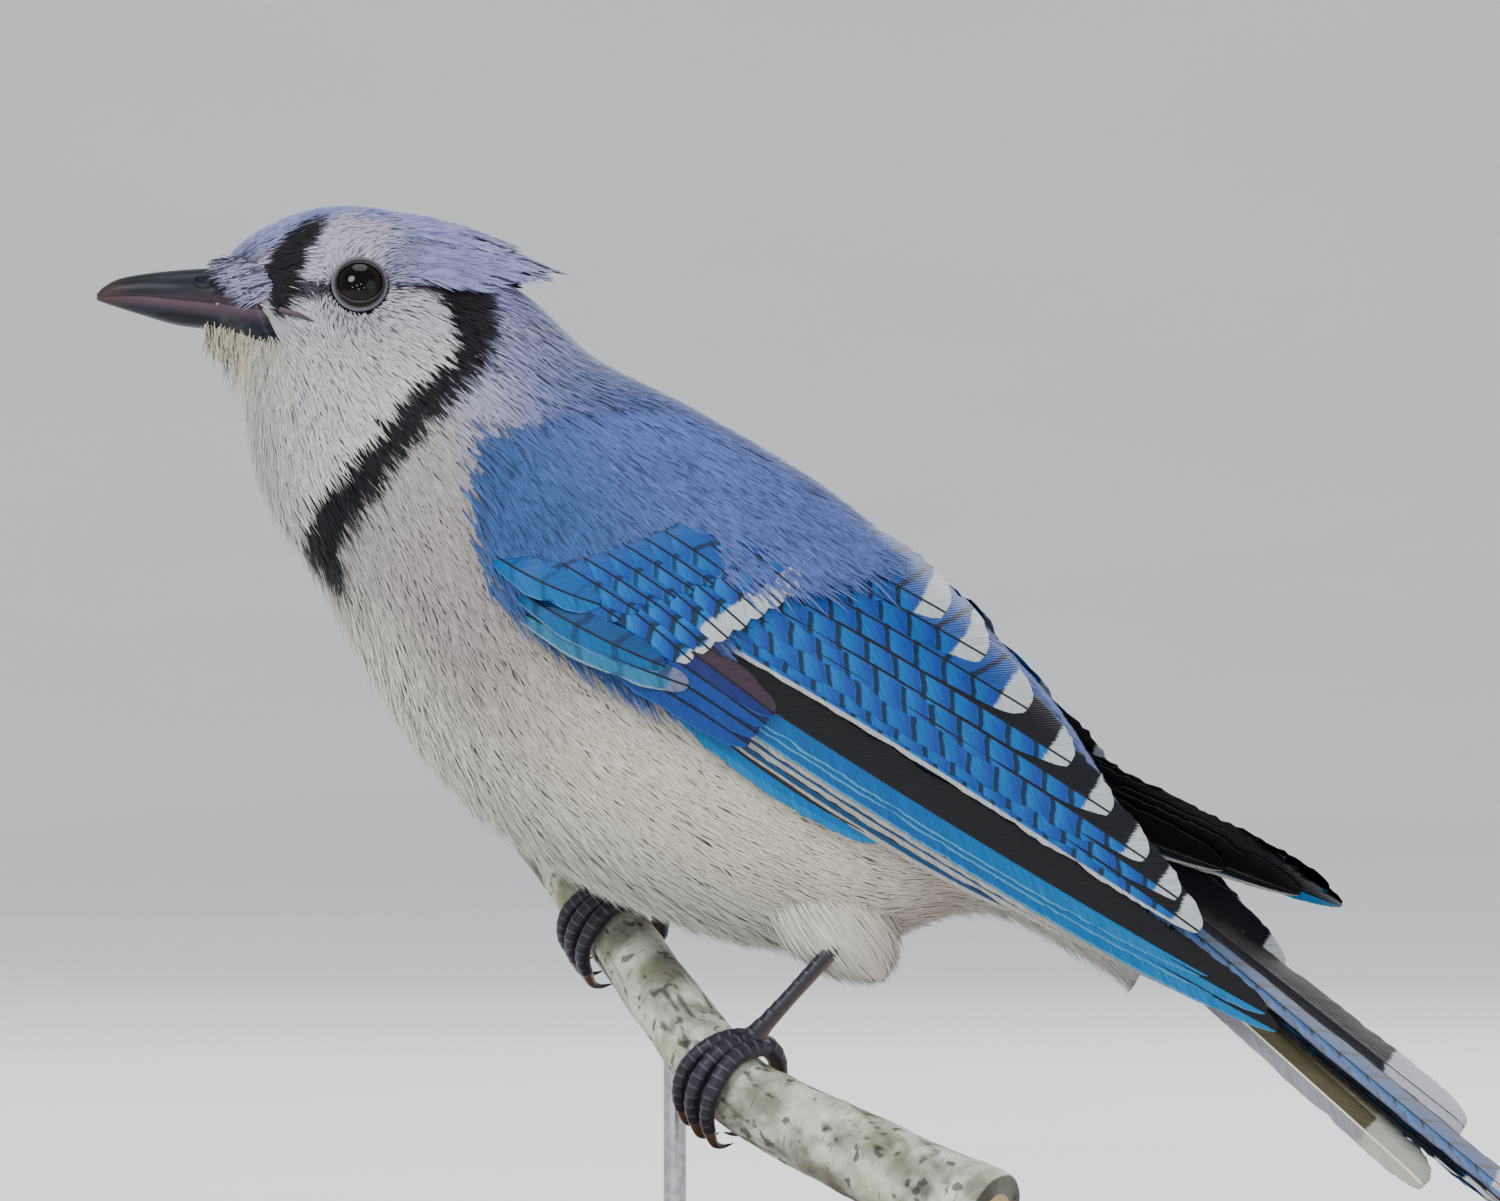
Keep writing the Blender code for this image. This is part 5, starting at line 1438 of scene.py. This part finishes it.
class Graph:
    """Small helper that writes a material's nodes in reading order."""

    def __init__(self, name):
        self.look = bpy.data.materials.new(name)
        self.look.use_nodes = True
        self.tree = self.look.node_tree
        self.tree.nodes.clear()
        self.shader = self.tree.nodes.new("ShaderNodeBsdfPrincipled")
        out = self.tree.nodes.new("ShaderNodeOutputMaterial")
        self.tree.links.new(self.shader.outputs[0], out.inputs[0])

    def give(self, socket, value):
        if isinstance(value, bpy.types.NodeSocket):
            self.tree.links.new(value, socket)
        elif isinstance(value, np.ndarray):
            socket.default_value = (*[float(v) for v in value], 1.0)
        else:
            socket.default_value = value

    def maths(self, operation, *values, clamp=False):
        node = self.tree.nodes.new("ShaderNodeMath")
        node.operation = operation
        node.use_clamp = clamp
        for socket, value in zip(node.inputs, values):
            self.give(socket, value)
        return node.outputs[0]

    def plus(self, first, second):
        return self.maths("ADD", first, second)

    def minus(self, first, second):
        return self.maths("SUBTRACT", first, second)

    def times(self, first, second):
        return self.maths("MULTIPLY", first, second)

    def step(self, value, low, high):
        node = self.tree.nodes.new("ShaderNodeMapRange")
        node.interpolation_type = "SMOOTHSTEP"
        for key, entry in (("Value", value), ("From Min", low), ("From Max", high)):
            self.give(node.inputs[key], entry)
        return node.outputs[0]

    def mix(self, factor, first, second, way="MIX"):
        node = self.tree.nodes.new("ShaderNodeMix")
        node.data_type = "RGBA"
        node.blend_type = way
        self.give(node.inputs[0], factor)
        self.give(node.inputs[6], first)
        self.give(node.inputs[7], second)
        return node.outputs[2]

    def attribute(self, name):
        node = self.tree.nodes.new("ShaderNodeAttribute")
        node.attribute_name = name
        return node.outputs["Vector"], node.outputs["Color"]

    def split(self, vector):
        node = self.tree.nodes.new("ShaderNodeSeparateXYZ")
        self.give(node.inputs[0], vector)
        return node.outputs[0], node.outputs[1], node.outputs[2]

    def combine(self, x, y, z):
        node = self.tree.nodes.new("ShaderNodeCombineXYZ")
        for socket, value in zip(node.inputs, (x, y, z)):
            self.give(socket, value)
        return node.outputs[0]

    def richer(self, colour, amount):
        node = self.tree.nodes.new("ShaderNodeHueSaturation")
        node.inputs["Saturation"].default_value = amount
        self.give(node.inputs["Color"], colour)
        return node.outputs[0]

    def where(self):
        return self.tree.nodes.new("ShaderNodeTexCoord").outputs["Object"]

    def stretched(self, x_rate, y_rate, z_rate):
        """Object coordinates, each at a rate of its own."""
        x, y, z = self.split(self.where())
        return self.combine(self.times(x, x_rate), self.times(y, y_rate), self.times(z, z_rate))

    def noise(self, vector, scale, detail=2.0):
        node = self.tree.nodes.new("ShaderNodeTexNoise")
        self.give(node.inputs["Vector"], vector)
        node.inputs["Scale"].default_value = scale
        node.inputs["Detail"].default_value = detail
        return node.outputs[0]

    def bump(self, height, strength, distance):
        node = self.tree.nodes.new("ShaderNodeBump")
        node.inputs["Strength"].default_value = strength
        node.inputs["Distance"].default_value = distance
        self.give(node.inputs["Height"], height)
        self.tree.links.new(node.outputs[0], self.shader.inputs["Normal"])

    def finish(self, colour, roughness, **constants):
        self.give(self.shader.inputs["Base Color"], colour)
        self.give(self.shader.inputs["Roughness"], roughness)
        for name, value in constants.items():
            self.shader.inputs[name.replace("_", " ")].default_value = value
        return self.look


def coat_look(name, roughness=0.7):
    """Small feathers: the colour stored on them, painted root shade included, with a fine grain."""
    g = Graph(name)
    _, colour = g.attribute("plumage")
    grain = g.noise(g.where(), 900.0)
    tone = g.plus(0.62, g.times(grain, 0.24))
    mixed = g.mix(1.0, g.richer(colour, 1.14), g.combine(tone, tone, tone), "MULTIPLY")
    return g.finish(mixed, roughness, Sheen_Weight=0.12, Specular_IOR_Level=0.2)


VANE_BLACK = srgb(9, 10, 17)


def vane_look(name, outer, inner, deep=None, bar=(4.7, 0.22, 0.4), bar_web="both", tip=0.0,
              tip_colour=None, edge=None, edge_width=0.15, far_edge=None, shaft=VANE_BLACK,
              inner_share=0.0, roughness=0.42, bar_colour=VANE_BLACK, bar_weight=0.86):
    """Feather vane: two webs, dark bars, a shaft, edges and a pale tip.

    Outer and inner are the webs' colours, deep the tone each barred cell shades into.
    A bar is (spacing, share of the spacing, slant); edge runs along the outer web's rim
    and far_edge along the inner one's.
    """
    g = Graph(name)
    along, across, from_tip = g.split(g.attribute("vane")[0])
    share, seed, _ = g.split(g.attribute("edge")[0])
    shift = g.combine(g.times(along, 0.22), g.times(across, 0.4),
                      g.times(seed, 3.7))
    wander = g.minus(g.noise(shift, 1.0), 0.5)
    size = g.maths("ABSOLUTE", across)
    barb = g.minus(along, g.times(size, 1.1))
    fray = g.minus(g.noise(g.combine(g.times(barb, 3.2), seed, 0.0), 1.0), 0.5)
    inward = g.step(g.plus(across, g.times(fray, 0.5)), inner_share - 0.1, inner_share + 0.1)
    period, thick, slant = bar
    base = outer
    if period:
        spot = g.minus(along, g.times(size, slant))
        spot = g.plus(spot, g.times(wander, 1.3))
        spot = g.plus(spot, g.times(fray, 0.35))
        spot = g.plus(g.maths("DIVIDE", spot, period), g.times(seed, 0.06))
        cell = g.maths("FRACT", spot)
        if deep is not None:
            base = g.mix(g.step(cell, 0.25, 1.0), outer, deep)
        base = g.mix(inward, base, inner)
        gap = g.maths("ABSOLUTE", g.minus(cell, 0.12))
        line = g.minus(1.0, g.step(gap, thick * 0.5 - 0.035, thick * 0.5 + 0.035))
        if bar_web == "outer":
            line = g.times(line, g.minus(1.0, inward))
        base = g.mix(g.times(line, bar_weight), base, bar_colour)
    else:
        if deep is not None:
            base = g.mix(g.step(from_tip, 0.0, 60.0), outer, deep)
        base = g.mix(inward, base, inner)
    loose = g.times(fray, 0.1)
    if edge is not None:
        rim = g.step(g.minus(loose, share), 1 - edge_width - 0.05, 1 - edge_width + 0.05)
        base = g.mix(rim, base, edge)
    if far_edge is not None:
        rim = g.step(g.plus(share, loose), 0.62, 0.7)
        base = g.mix(rim, base, far_edge)
    if tip:
        end = g.plus(from_tip, g.times(wander, 1.8))
        end = g.plus(end, g.times(fray, 1.6))
        end = g.minus(end, g.times(size, 0.35))
        white = g.minus(1.0, g.step(end, tip - 0.3, tip + 0.3))
        base = g.mix(white, base, tip_colour)
    comb = g.maths("SINE", g.plus(g.times(barb, 11.0), g.times(fray, 3.0)))
    streak = g.noise(g.combine(g.times(barb, 2.2), g.times(size, 0.3), seed), 1.0, 3.0)
    tone = g.plus(0.22, g.times(streak, 0.44))
    base = g.mix(1.0, g.richer(base, 1.17), g.combine(tone, tone, tone), "MULTIPLY")
    if shaft is not None:
        quill = g.minus(1.0, g.step(size, 0.1, 0.2))
        base = g.mix(quill, base, shaft)
    g.bump(comb, 0.35, 0.00008)
    return g.finish(base, roughness, Specular_IOR_Level=0.22)


def plain_look(name, first, second, scale, roughness, bump=(0.2, 0.0003), **constants):
    g = Graph(name)
    field = g.noise(g.where(), scale, 5.0)
    base = g.mix(g.step(field, 0.35, 0.65), first, second)
    g.bump(field, bump[0], bump[1])
    return g.finish(base, roughness, **constants)


def bill_look(name, upper):
    """Dark horn with faint lengthwise streaks; the lower half is mauve near the mouth, partly its own tinge
    and partly painted highlight, and the tip carries a brown painted highlight.
    """
    g = Graph(name)
    x, _, z = g.split(g.where())
    streak = g.noise(g.stretched(90.0, 900.0, 1500.0), 1.0, 4.0)
    base = g.mix(g.step(streak, 0.3, 0.75), srgb(9, 10, 15), srgb(30, 32, 46))
    if upper:
        # Mauve along the upper half's lower edge: partly the horn's own tinge, partly painted highlight
        edge = g.minus(1.0, g.step(z, 0.1538, 0.1552))
        base = g.mix(g.times(edge, 0.5), base, srgb(66, 50, 58))
    else:
        # Mauve over the lower half near the mouth: partly the horn's own tinge, partly painted highlight
        edge = g.step(g.plus(z, g.times(x, 0.12)), 0.1412, 0.1440)
        base = g.mix(g.times(edge, 0.8), base, srgb(84, 66, 76))
    # Brown at the tip: painted highlight
    tip = g.minus(1.0, g.step(x, -0.0925, -0.088))
    base = g.mix(g.times(tip, 0.5), base, srgb(70, 52, 44))
    g.bump(streak, 0.2, 0.00006)
    return g.finish(base, 0.38, Specular_IOR_Level=0.14)


def eye_look(name):
    """Near-black eye with a dark reddish-brown iris round the pupil."""
    g = Graph(name)
    ahead, up, _ = g.split(g.attribute("gaze")[0])
    reach = g.maths("SQRT", g.plus(g.times(ahead, ahead), g.times(up, up)))
    spoke = g.noise(g.attribute("gaze")[0], 3.5, 3.0)
    iris = g.mix(spoke, srgb(7, 4, 3), srgb(24, 13, 9))
    base = g.mix(g.step(reach, 2.1, 2.5), srgb(3, 3, 4), iris)
    base = g.mix(g.step(reach, 3.1, 3.4), base, srgb(4, 3, 3))
    return g.finish(base, 0.03, Specular_IOR_Level=0.16)


def lid_look(name):
    """Dark bare rim that pales over its beads and fades into the skin."""
    g = Graph(name)
    ahead, up, out = g.split(g.attribute("gaze")[0])
    reach = g.maths("SQRT", g.plus(g.times(ahead, ahead), g.times(up, up)))
    grain = g.noise(g.attribute("gaze")[0], 4.0, 3.0)
    bead = g.step(out, 3.15, 3.5)
    rim = g.mix(bead, srgb(12, 11, 14), srgb(46, 43, 50))
    skin_tone = g.mix(grain, srgb(44, 41, 50), srgb(104, 100, 114))
    base = g.mix(g.step(reach, 3.4, 3.9), rim, skin_tone)
    return g.finish(base, 0.5, Specular_IOR_Level=0.4)


def scale_look(name, dark, light, roughness):
    """Scutes with paler edges over dark skin, browner under the toes."""
    g = Graph(name)
    plate, outer, _ = g.split(g.attribute("scale")[0])
    cell = g.maths("FRACT", plate)
    grain = g.noise(g.where(), 1400.0, 3.0)
    base = g.mix(grain, dark, light)
    rim = g.times(g.step(cell, 0.72, 0.95), g.step(outer, 0.0, 0.5))
    base = g.mix(g.times(rim, 0.55), base, srgb(88, 84, 98))
    line = g.minus(1.0, g.step(cell, 0.02, 0.1))
    base = g.mix(g.times(line, 0.8), base, srgb(12, 11, 15))
    pad = g.minus(1.0, g.step(outer, -0.75, -0.25))
    base = g.mix(g.times(pad, 0.7), base, srgb(96, 74, 60))
    g.bump(grain, 0.5, 0.00015)
    return g.finish(base, roughness, Specular_IOR_Level=0.22)


def claw_look(name):
    g = Graph(name)
    along, _, _ = g.split(g.attribute("scale")[0])
    grain = g.noise(g.where(), 700.0, 2.0)
    base = g.mix(g.step(along, 0.0, 0.8), srgb(84, 62, 46), srgb(18, 15, 15))
    base = g.mix(g.times(grain, 0.3), base, srgb(60, 50, 50))
    return g.finish(base, 0.28, Specular_IOR_Level=0.5)


def bark_look(name):
    """Grey-green bark with pale lichen, dark dapples and cross lenticels."""
    g = Graph(name)
    along, turn, relief = g.split(g.attribute("scale")[0])
    where = g.where()
    cloud = g.noise(where, 130.0, 5.0)
    fine = g.noise(where, 900.0, 4.0)
    base = g.mix(g.step(cloud, 0.35, 0.62), srgb(112, 112, 98), srgb(192, 196, 182))
    green = g.noise(where, 70.0, 3.0)
    base = g.mix(g.times(g.step(green, 0.52, 0.68), 0.5), base, srgb(132, 140, 84))
    # Darker in the hollows of the relief: partly the bark's own darker furrows, partly painted shade
    low = g.minus(1.0, g.step(relief, -0.22, 0.0))
    base = g.mix(g.times(low, 0.8), base, srgb(48, 44, 38))
    dots = g.step(g.noise(where, 420.0, 2.0), 0.62, 0.68)
    base = g.mix(g.times(dots, 0.75), base, srgb(46, 43, 40))
    cross = g.noise(g.combine(g.times(along, 2.4), g.times(turn, 1.4), 0.0), 1.0, 1.0)
    base = g.mix(g.times(g.step(cross, 0.66, 0.71), 0.6), base, srgb(70, 64, 54))
    wood = g.maths("LESS_THAN", relief, -4.0)
    base = g.mix(wood, base, srgb(176, 150, 112))
    tone = g.plus(0.75, g.times(fine, 0.5))
    base = g.mix(1.0, base, g.combine(tone, tone, tone), "MULTIPLY")
    g.bump(fine, 0.7, 0.0004)
    return g.finish(base, 0.85, Specular_IOR_Level=0.25)


def wood_look(name):
    """Varnished wood with straight grain along the base."""
    g = Graph(name)
    grain = g.noise(g.stretched(14.0, 260.0, 260.0), 1.0, 5.0)
    fine = g.noise(g.stretched(90.0, 1600.0, 1600.0), 1.0, 2.0)
    base = g.mix(g.step(grain, 0.3, 0.7), srgb(84, 52, 30), srgb(132, 88, 54))
    base = g.mix(g.times(g.step(fine, 0.55, 0.75), 0.5), base, srgb(60, 36, 20))
    g.bump(fine, 0.15, 0.0001)
    return g.finish(base, 0.32, Specular_IOR_Level=0.5)


def give_look(names, look):
    """Put a look on CAD nodes as they stand."""
    for name in names:
        node = bpy.data.objects[name]
        for piece in [node] + list(node.children_recursive):
            if piece.type == "MESH":
                piece.data.materials.clear()
                piece.data.materials.append(look)


# Skin

SKIN_VOXEL = 0.0007
# Darkening of the skin under the coat: painted shade, seen in the gaps between the tufts
SKIN_PAINTED_SHADE = 0.62


def evaluated(made):
    graph = bpy.context.evaluated_depsgraph_get()
    return bpy.data.meshes.new_from_object(made.evaluated_get(graph))


def skin(look):
    """One closed body inside the coat, thighs and all."""
    at = np.linspace(0.0, 16.0, 200)
    angle = np.linspace(0, 2 * math.pi, 120, endpoint=False)
    grid_at, grid_angle = np.meshgrid(at, angle, indexing="ij")
    rings = section(BODY, grid_at, grid_angle, -coat_depth(grid_at))
    points, faces = capped(rings)
    total = len(points)
    for centre, radii, turn in THIGHS.values():
        c = math.cos(math.radians(turn))
        s = math.sin(math.radians(turn))
        polar = np.linspace(0.06, math.pi - 0.06, 28)[:, None]
        around = np.linspace(0, 2 * math.pi, 40, endpoint=False)[None]
        x = (radii[0] - 1) * np.cos(polar) * np.ones_like(around)
        y = (radii[1] - 1) * np.sin(polar) * np.cos(around)
        z = (radii[2] - 1) * np.sin(polar) * np.sin(around)
        more, extra = capped(np.stack([x * c + z * s, y, -x * s + z * c], axis=-1) + centre)
        points = np.vstack([points, more])
        faces = np.vstack([faces, extra + total])
        total += len(more)
    made = make_object("skin", points, faces, look)
    made.modifiers.new("join", "REMESH").mode = "VOXEL"
    made.modifiers["join"].voxel_size = SKIN_VOXEL
    whole = evaluated(made)
    made.modifiers.clear()
    made.data = whole
    made.data.shade_smooth()
    made.data.materials.clear()
    made.data.materials.append(look)
    spots = np.zeros(3 * len(whole.vertices), dtype=np.float32)
    whole.vertices.foreach_get("co", spots)
    spots = spots.reshape(-1, 3) / MM
    # The plumage's colour darkened, as painted shade under the coat
    colours = plumage(spots, np.zeros(len(spots))) * SKIN_PAINTED_SHADE
    set_colours(made, colours)
    return made


# Stage

def bowl(look):
    """Plain floor that curves up into a backdrop."""
    radius, rim, rise = 8.0, 4.0, 3.0
    profile = [(0.0, 0.0), (rim, 0.0)]
    for k in range(1, 17):
        angle = math.radians(90 * k / 16)
        profile.append((rim + (radius - rim) * math.sin(angle), rise * (1 - math.cos(angle))))
    profile.append((radius, 6.0))
    sides = 96
    mesh = bpy.data.meshes.new("floor")
    bm = bmesh.new()
    middle = bm.verts.new((0, 0, 0))
    previous = None
    for reach, high in profile[1:]:
        ring = [bm.verts.new((reach * math.cos(2 * math.pi * k / sides),
                              reach * math.sin(2 * math.pi * k / sides), high)) for k in range(sides)]
        for k in range(sides):
            if previous is None:
                bm.faces.new((middle, ring[k], ring[(k + 1) % sides]))
            else:
                bm.faces.new((previous[k], ring[k], ring[(k + 1) % sides], previous[(k + 1) % sides]))
        previous = ring
    bm.to_mesh(mesh)
    bm.free()
    mesh.shade_smooth()
    mesh.materials.append(look)
    made = bpy.data.objects.new("floor", mesh)
    bpy.context.scene.collection.objects.link(made)
    return made


def lamp(name, spot, aim, size, power, colour=(1.0, 1.0, 1.0)):
    """Disc-shaped light at a spot, aimed at a point."""
    data = bpy.data.lights.new(name, "AREA")
    data.shape = "DISK"
    data.size = size
    data.energy = power
    data.color = colour
    made = bpy.data.objects.new(name, data)
    made.location = spot
    way = np.array(aim) - np.array(spot)
    made.rotation_euler = mathutils.Vector(way).to_track_quat("-Z", "Y").to_euler()
    bpy.context.scene.collection.objects.link(made)


def overhead_light():
    """Large soft source overhead, which also lights the backdrop evenly."""
    data = bpy.data.lights.new("overhead", "POINT")
    data.shadow_soft_size = 1.2
    data.energy = 260.0
    made = bpy.data.objects.new("overhead", data)
    made.location = (0.0, 0.0, 3.6)
    bpy.context.scene.collection.objects.link(made)


# Looks and pieces

WHITE_TIP = srgb(232, 236, 240)
looks = {
    "primary_first": vane_look("primary_first_vane", srgb(52, 128, 200), srgb(64, 52, 52), bar=(0, 0, 0),
                               edge=srgb(70, 150, 214), edge_width=0.45, far_edge=VANE_BLACK),
    "primary_pale": vane_look("primary_pale_vane", srgb(40, 84, 130), VANE_BLACK, bar=(0, 0, 0),
                              edge=srgb(200, 196, 190), edge_width=0.3, inner_share=-0.9),
    "primary_blue": vane_look("primary_blue_vane", srgb(60, 146, 212), srgb(16, 16, 22), bar=(0, 0, 0),
                              deep=srgb(40, 112, 190), edge=srgb(128, 186, 222), edge_width=0.12),
    "secondary_first": vane_look("secondary_first_vane", srgb(44, 130, 214), srgb(14, 16, 28),
                                 deep=srgb(26, 84, 186), bar=(4.6, 0.2, 0.3), bar_web="outer", tip=4.0,
                                 tip_colour=WHITE_TIP, edge=srgb(216, 220, 222), edge_width=0.28),
    "secondary": vane_look("secondary_vane", srgb(42, 128, 214), srgb(14, 16, 28), deep=srgb(24, 78, 184),
                           bar=(4.6, 0.2, 0.3), bar_web="outer", tip=3.4, tip_colour=WHITE_TIP),
    "tertial": vane_look("tertial_vane", srgb(46, 120, 206), srgb(38, 92, 178), deep=srgb(28, 76, 178),
                         bar=(4.6, 0.2, 0.3), tip=4.0, tip_colour=WHITE_TIP),
    "covert": vane_look("covert_vane", srgb(54, 142, 226), srgb(16, 22, 56), deep=srgb(22, 72, 182),
                        bar=(4.7, 0.24, 0.35), tip=3.6, tip_colour=WHITE_TIP, inner_share=1.0),
    "covert_low": vane_look("covert_low_vane", srgb(54, 142, 226), srgb(16, 22, 56), deep=srgb(22, 72, 182),
                            bar=(4.7, 0.24, 0.35), tip=1.2, tip_colour=WHITE_TIP, inner_share=1.0),
    "median": vane_look("median_vane", srgb(56, 132, 214), srgb(44, 100, 186), deep=srgb(30, 84, 184),
                        bar=(5.2, 0.16, 0.3), bar_weight=0.7),
    "primary_covert": vane_look("primary_covert_vane", srgb(44, 84, 168), srgb(30, 46, 104), bar=(0, 0, 0),
                                deep=srgb(34, 62, 140), edge=srgb(84, 124, 190), edge_width=0.1),
    "primary_covert_brown": vane_look("primary_covert_brown_vane", srgb(52, 64, 128), srgb(74, 58, 72),
                                      bar=(0, 0, 0), deep=srgb(72, 56, 68), edge=srgb(84, 110, 186)),
    "lanceolate": vane_look("lanceolate_vane", srgb(54, 126, 200), srgb(50, 108, 184), bar=(5.0, 0.12, 0.3),
                            bar_weight=0.35, edge=srgb(110, 160, 210), edge_width=0.1),
    "alula": vane_look("alula_vane", srgb(64, 120, 180), srgb(54, 96, 152), bar=(6.2, 0.18, 0.3),
                       bar_weight=0.5, edge=srgb(126, 160, 196), edge_width=0.1),
    "alula_long": vane_look("alula_long_vane", srgb(86, 146, 186), srgb(74, 112, 152), bar=(6.2, 0.16, 0.3),
                            bar_weight=0.4, tip=3.0, tip_colour=srgb(136, 142, 172),
                            edge=srgb(162, 186, 200), edge_width=0.12),
    "tail": vane_look("tail_vane", srgb(96, 148, 206), srgb(52, 88, 150), deep=srgb(60, 108, 178),
                      bar=(5.0, 0.16, 0.25), edge=VANE_BLACK, edge_width=0.2, tip=9.0, tip_colour=WHITE_TIP),
    "tail_middle": vane_look("tail_middle_vane", srgb(70, 122, 196), srgb(60, 104, 180),
                             deep=srgb(36, 80, 158), bar=(5.0, 0.16, 0.25), edge=VANE_BLACK, edge_width=0.1),
    # The near outer feather's olive-brown inner web is painted shade on its pale underside
    "tail_outer": vane_look("tail_outer_vane", srgb(186, 182, 194), srgb(112, 106, 84), bar=(0, 0, 0),
                            far_edge=srgb(200, 194, 168), tip=11.0, tip_colour=srgb(222, 224, 214),
                            shaft=srgb(216, 206, 176), roughness=0.5),
    "tail_far": vane_look("tail_far_vane", srgb(16, 15, 20), srgb(30, 30, 40), bar=(0, 0, 0), tip=14.0,
                          tip_colour=srgb(226, 228, 238), shaft=srgb(20, 20, 24)),
}
soft = coat_look("soft_feathers")
bristle = coat_look("bristles", 0.5)
horn = bill_look("upper_horn", True)
low_horn = bill_look("lower_horn", False)
wet = eye_look("wet_eye")
bare = lid_look("lid_skin")
leg = scale_look("scaly_skin", srgb(16, 15, 22), srgb(50, 46, 58), 0.42)
nail = claw_look("claw_horn")
bark = bark_look("bark_look")
wood = wood_look("stand_wood_look")
metal = plain_look("stand_metal_look", srgb(150, 150, 154), srgb(176, 176, 180), 900.0, 0.3,
                   (0.05, 0.0001), Metallic=1.0)
paper = plain_look("floor_look", srgb(240, 241, 241), srgb(244, 245, 246), 2.0, 0.9, (0.0, 0.001))

body = [skin(soft)] + body_coat(soft) + crest(soft) + nasal_bristles(bristle) + chin_bristles(bristle)
body += thigh_coat("left", soft) + thigh_coat("right", soft)
for piece in body:
    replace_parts(piece, "head", "neck", "torso", "thigh_left", "thigh_right")
for side, word in ((-1, "left"), (1, "right")):
    for piece in wing(side, looks) + shoulder_coat(side, soft):
        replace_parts(piece, "wing_" + word)
    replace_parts(eyeball(side, wet), "eye_" + word)
    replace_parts(lids(side, bare), "head")
    gape_line(side, low_horn)
    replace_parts(foot(word, leg), "foot_" + word, "tarsus_" + word)
    for number in range(4):
        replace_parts(claw(word, number, nail), "claw_%s_%d" % (word, number + 1))
for piece in tail(looks):
    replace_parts(piece, "tail")
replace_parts(bill_half("upper_bill", True, horn), "bill_upper")
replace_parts(bill_half("lower_bill", False, low_horn), "bill_lower")
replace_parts(branch(bark), "perch")
give_look(("stand_base",), wood)
give_look(("stand_rod_inner", "stand_rod_outer"), metal)

# Lights and camera

bowl(paper)
lamp("key", (-1.1, -1.5, 1.5), (0, 0, 0.1), 0.9, 44.0)
lamp("fill", (1.6, -1.6, 0.6), (0, 0, 0.1), 1.6, 11.0)
lamp("back", (0.8, 1.7, 1.3), (0, 0, 0.1), 1.4, 20.0)
GLINTS = ((-0.25, -1.3, 0.45), (0.1, -1.4, 0.6), (-0.6, -1.2, 0.3), (0.35, -1.2, 0.25), (-0.1, -1.3, 0.15))
for k, spot in enumerate(GLINTS):
    lamp("glint_%d" % (k + 1), spot, (0, 0, 0.13), 0.05, 0.8)
overhead_light()
world = bpy.data.worlds.new("sky")
world.use_nodes = True
world.node_tree.nodes["Background"].inputs[0].default_value = (0.9, 0.95, 1.0, 1.0)
world.node_tree.nodes["Background"].inputs[1].default_value = 0.62
bpy.context.scene.world = world

SENSOR_WIDTH = 36.0
DISTANCE = 2.5
FRAME_WIDTH = 0.2113
FRAME_MIDDLE = (-0.0014, 0.1112)
lens = bpy.data.cameras.new("camera")
lens.sensor_width = SENSOR_WIDTH
lens.clip_end = 20.0
eye_point = bpy.data.objects.new("camera", lens)
lens.lens = SENSOR_WIDTH * DISTANCE / FRAME_WIDTH
eye_point.location = (FRAME_MIDDLE[0], -DISTANCE, FRAME_MIDDLE[1])
eye_point.rotation_euler = (math.radians(90), 0, 0)
bpy.context.scene.collection.objects.link(eye_point)
bpy.context.scene.camera = eye_point
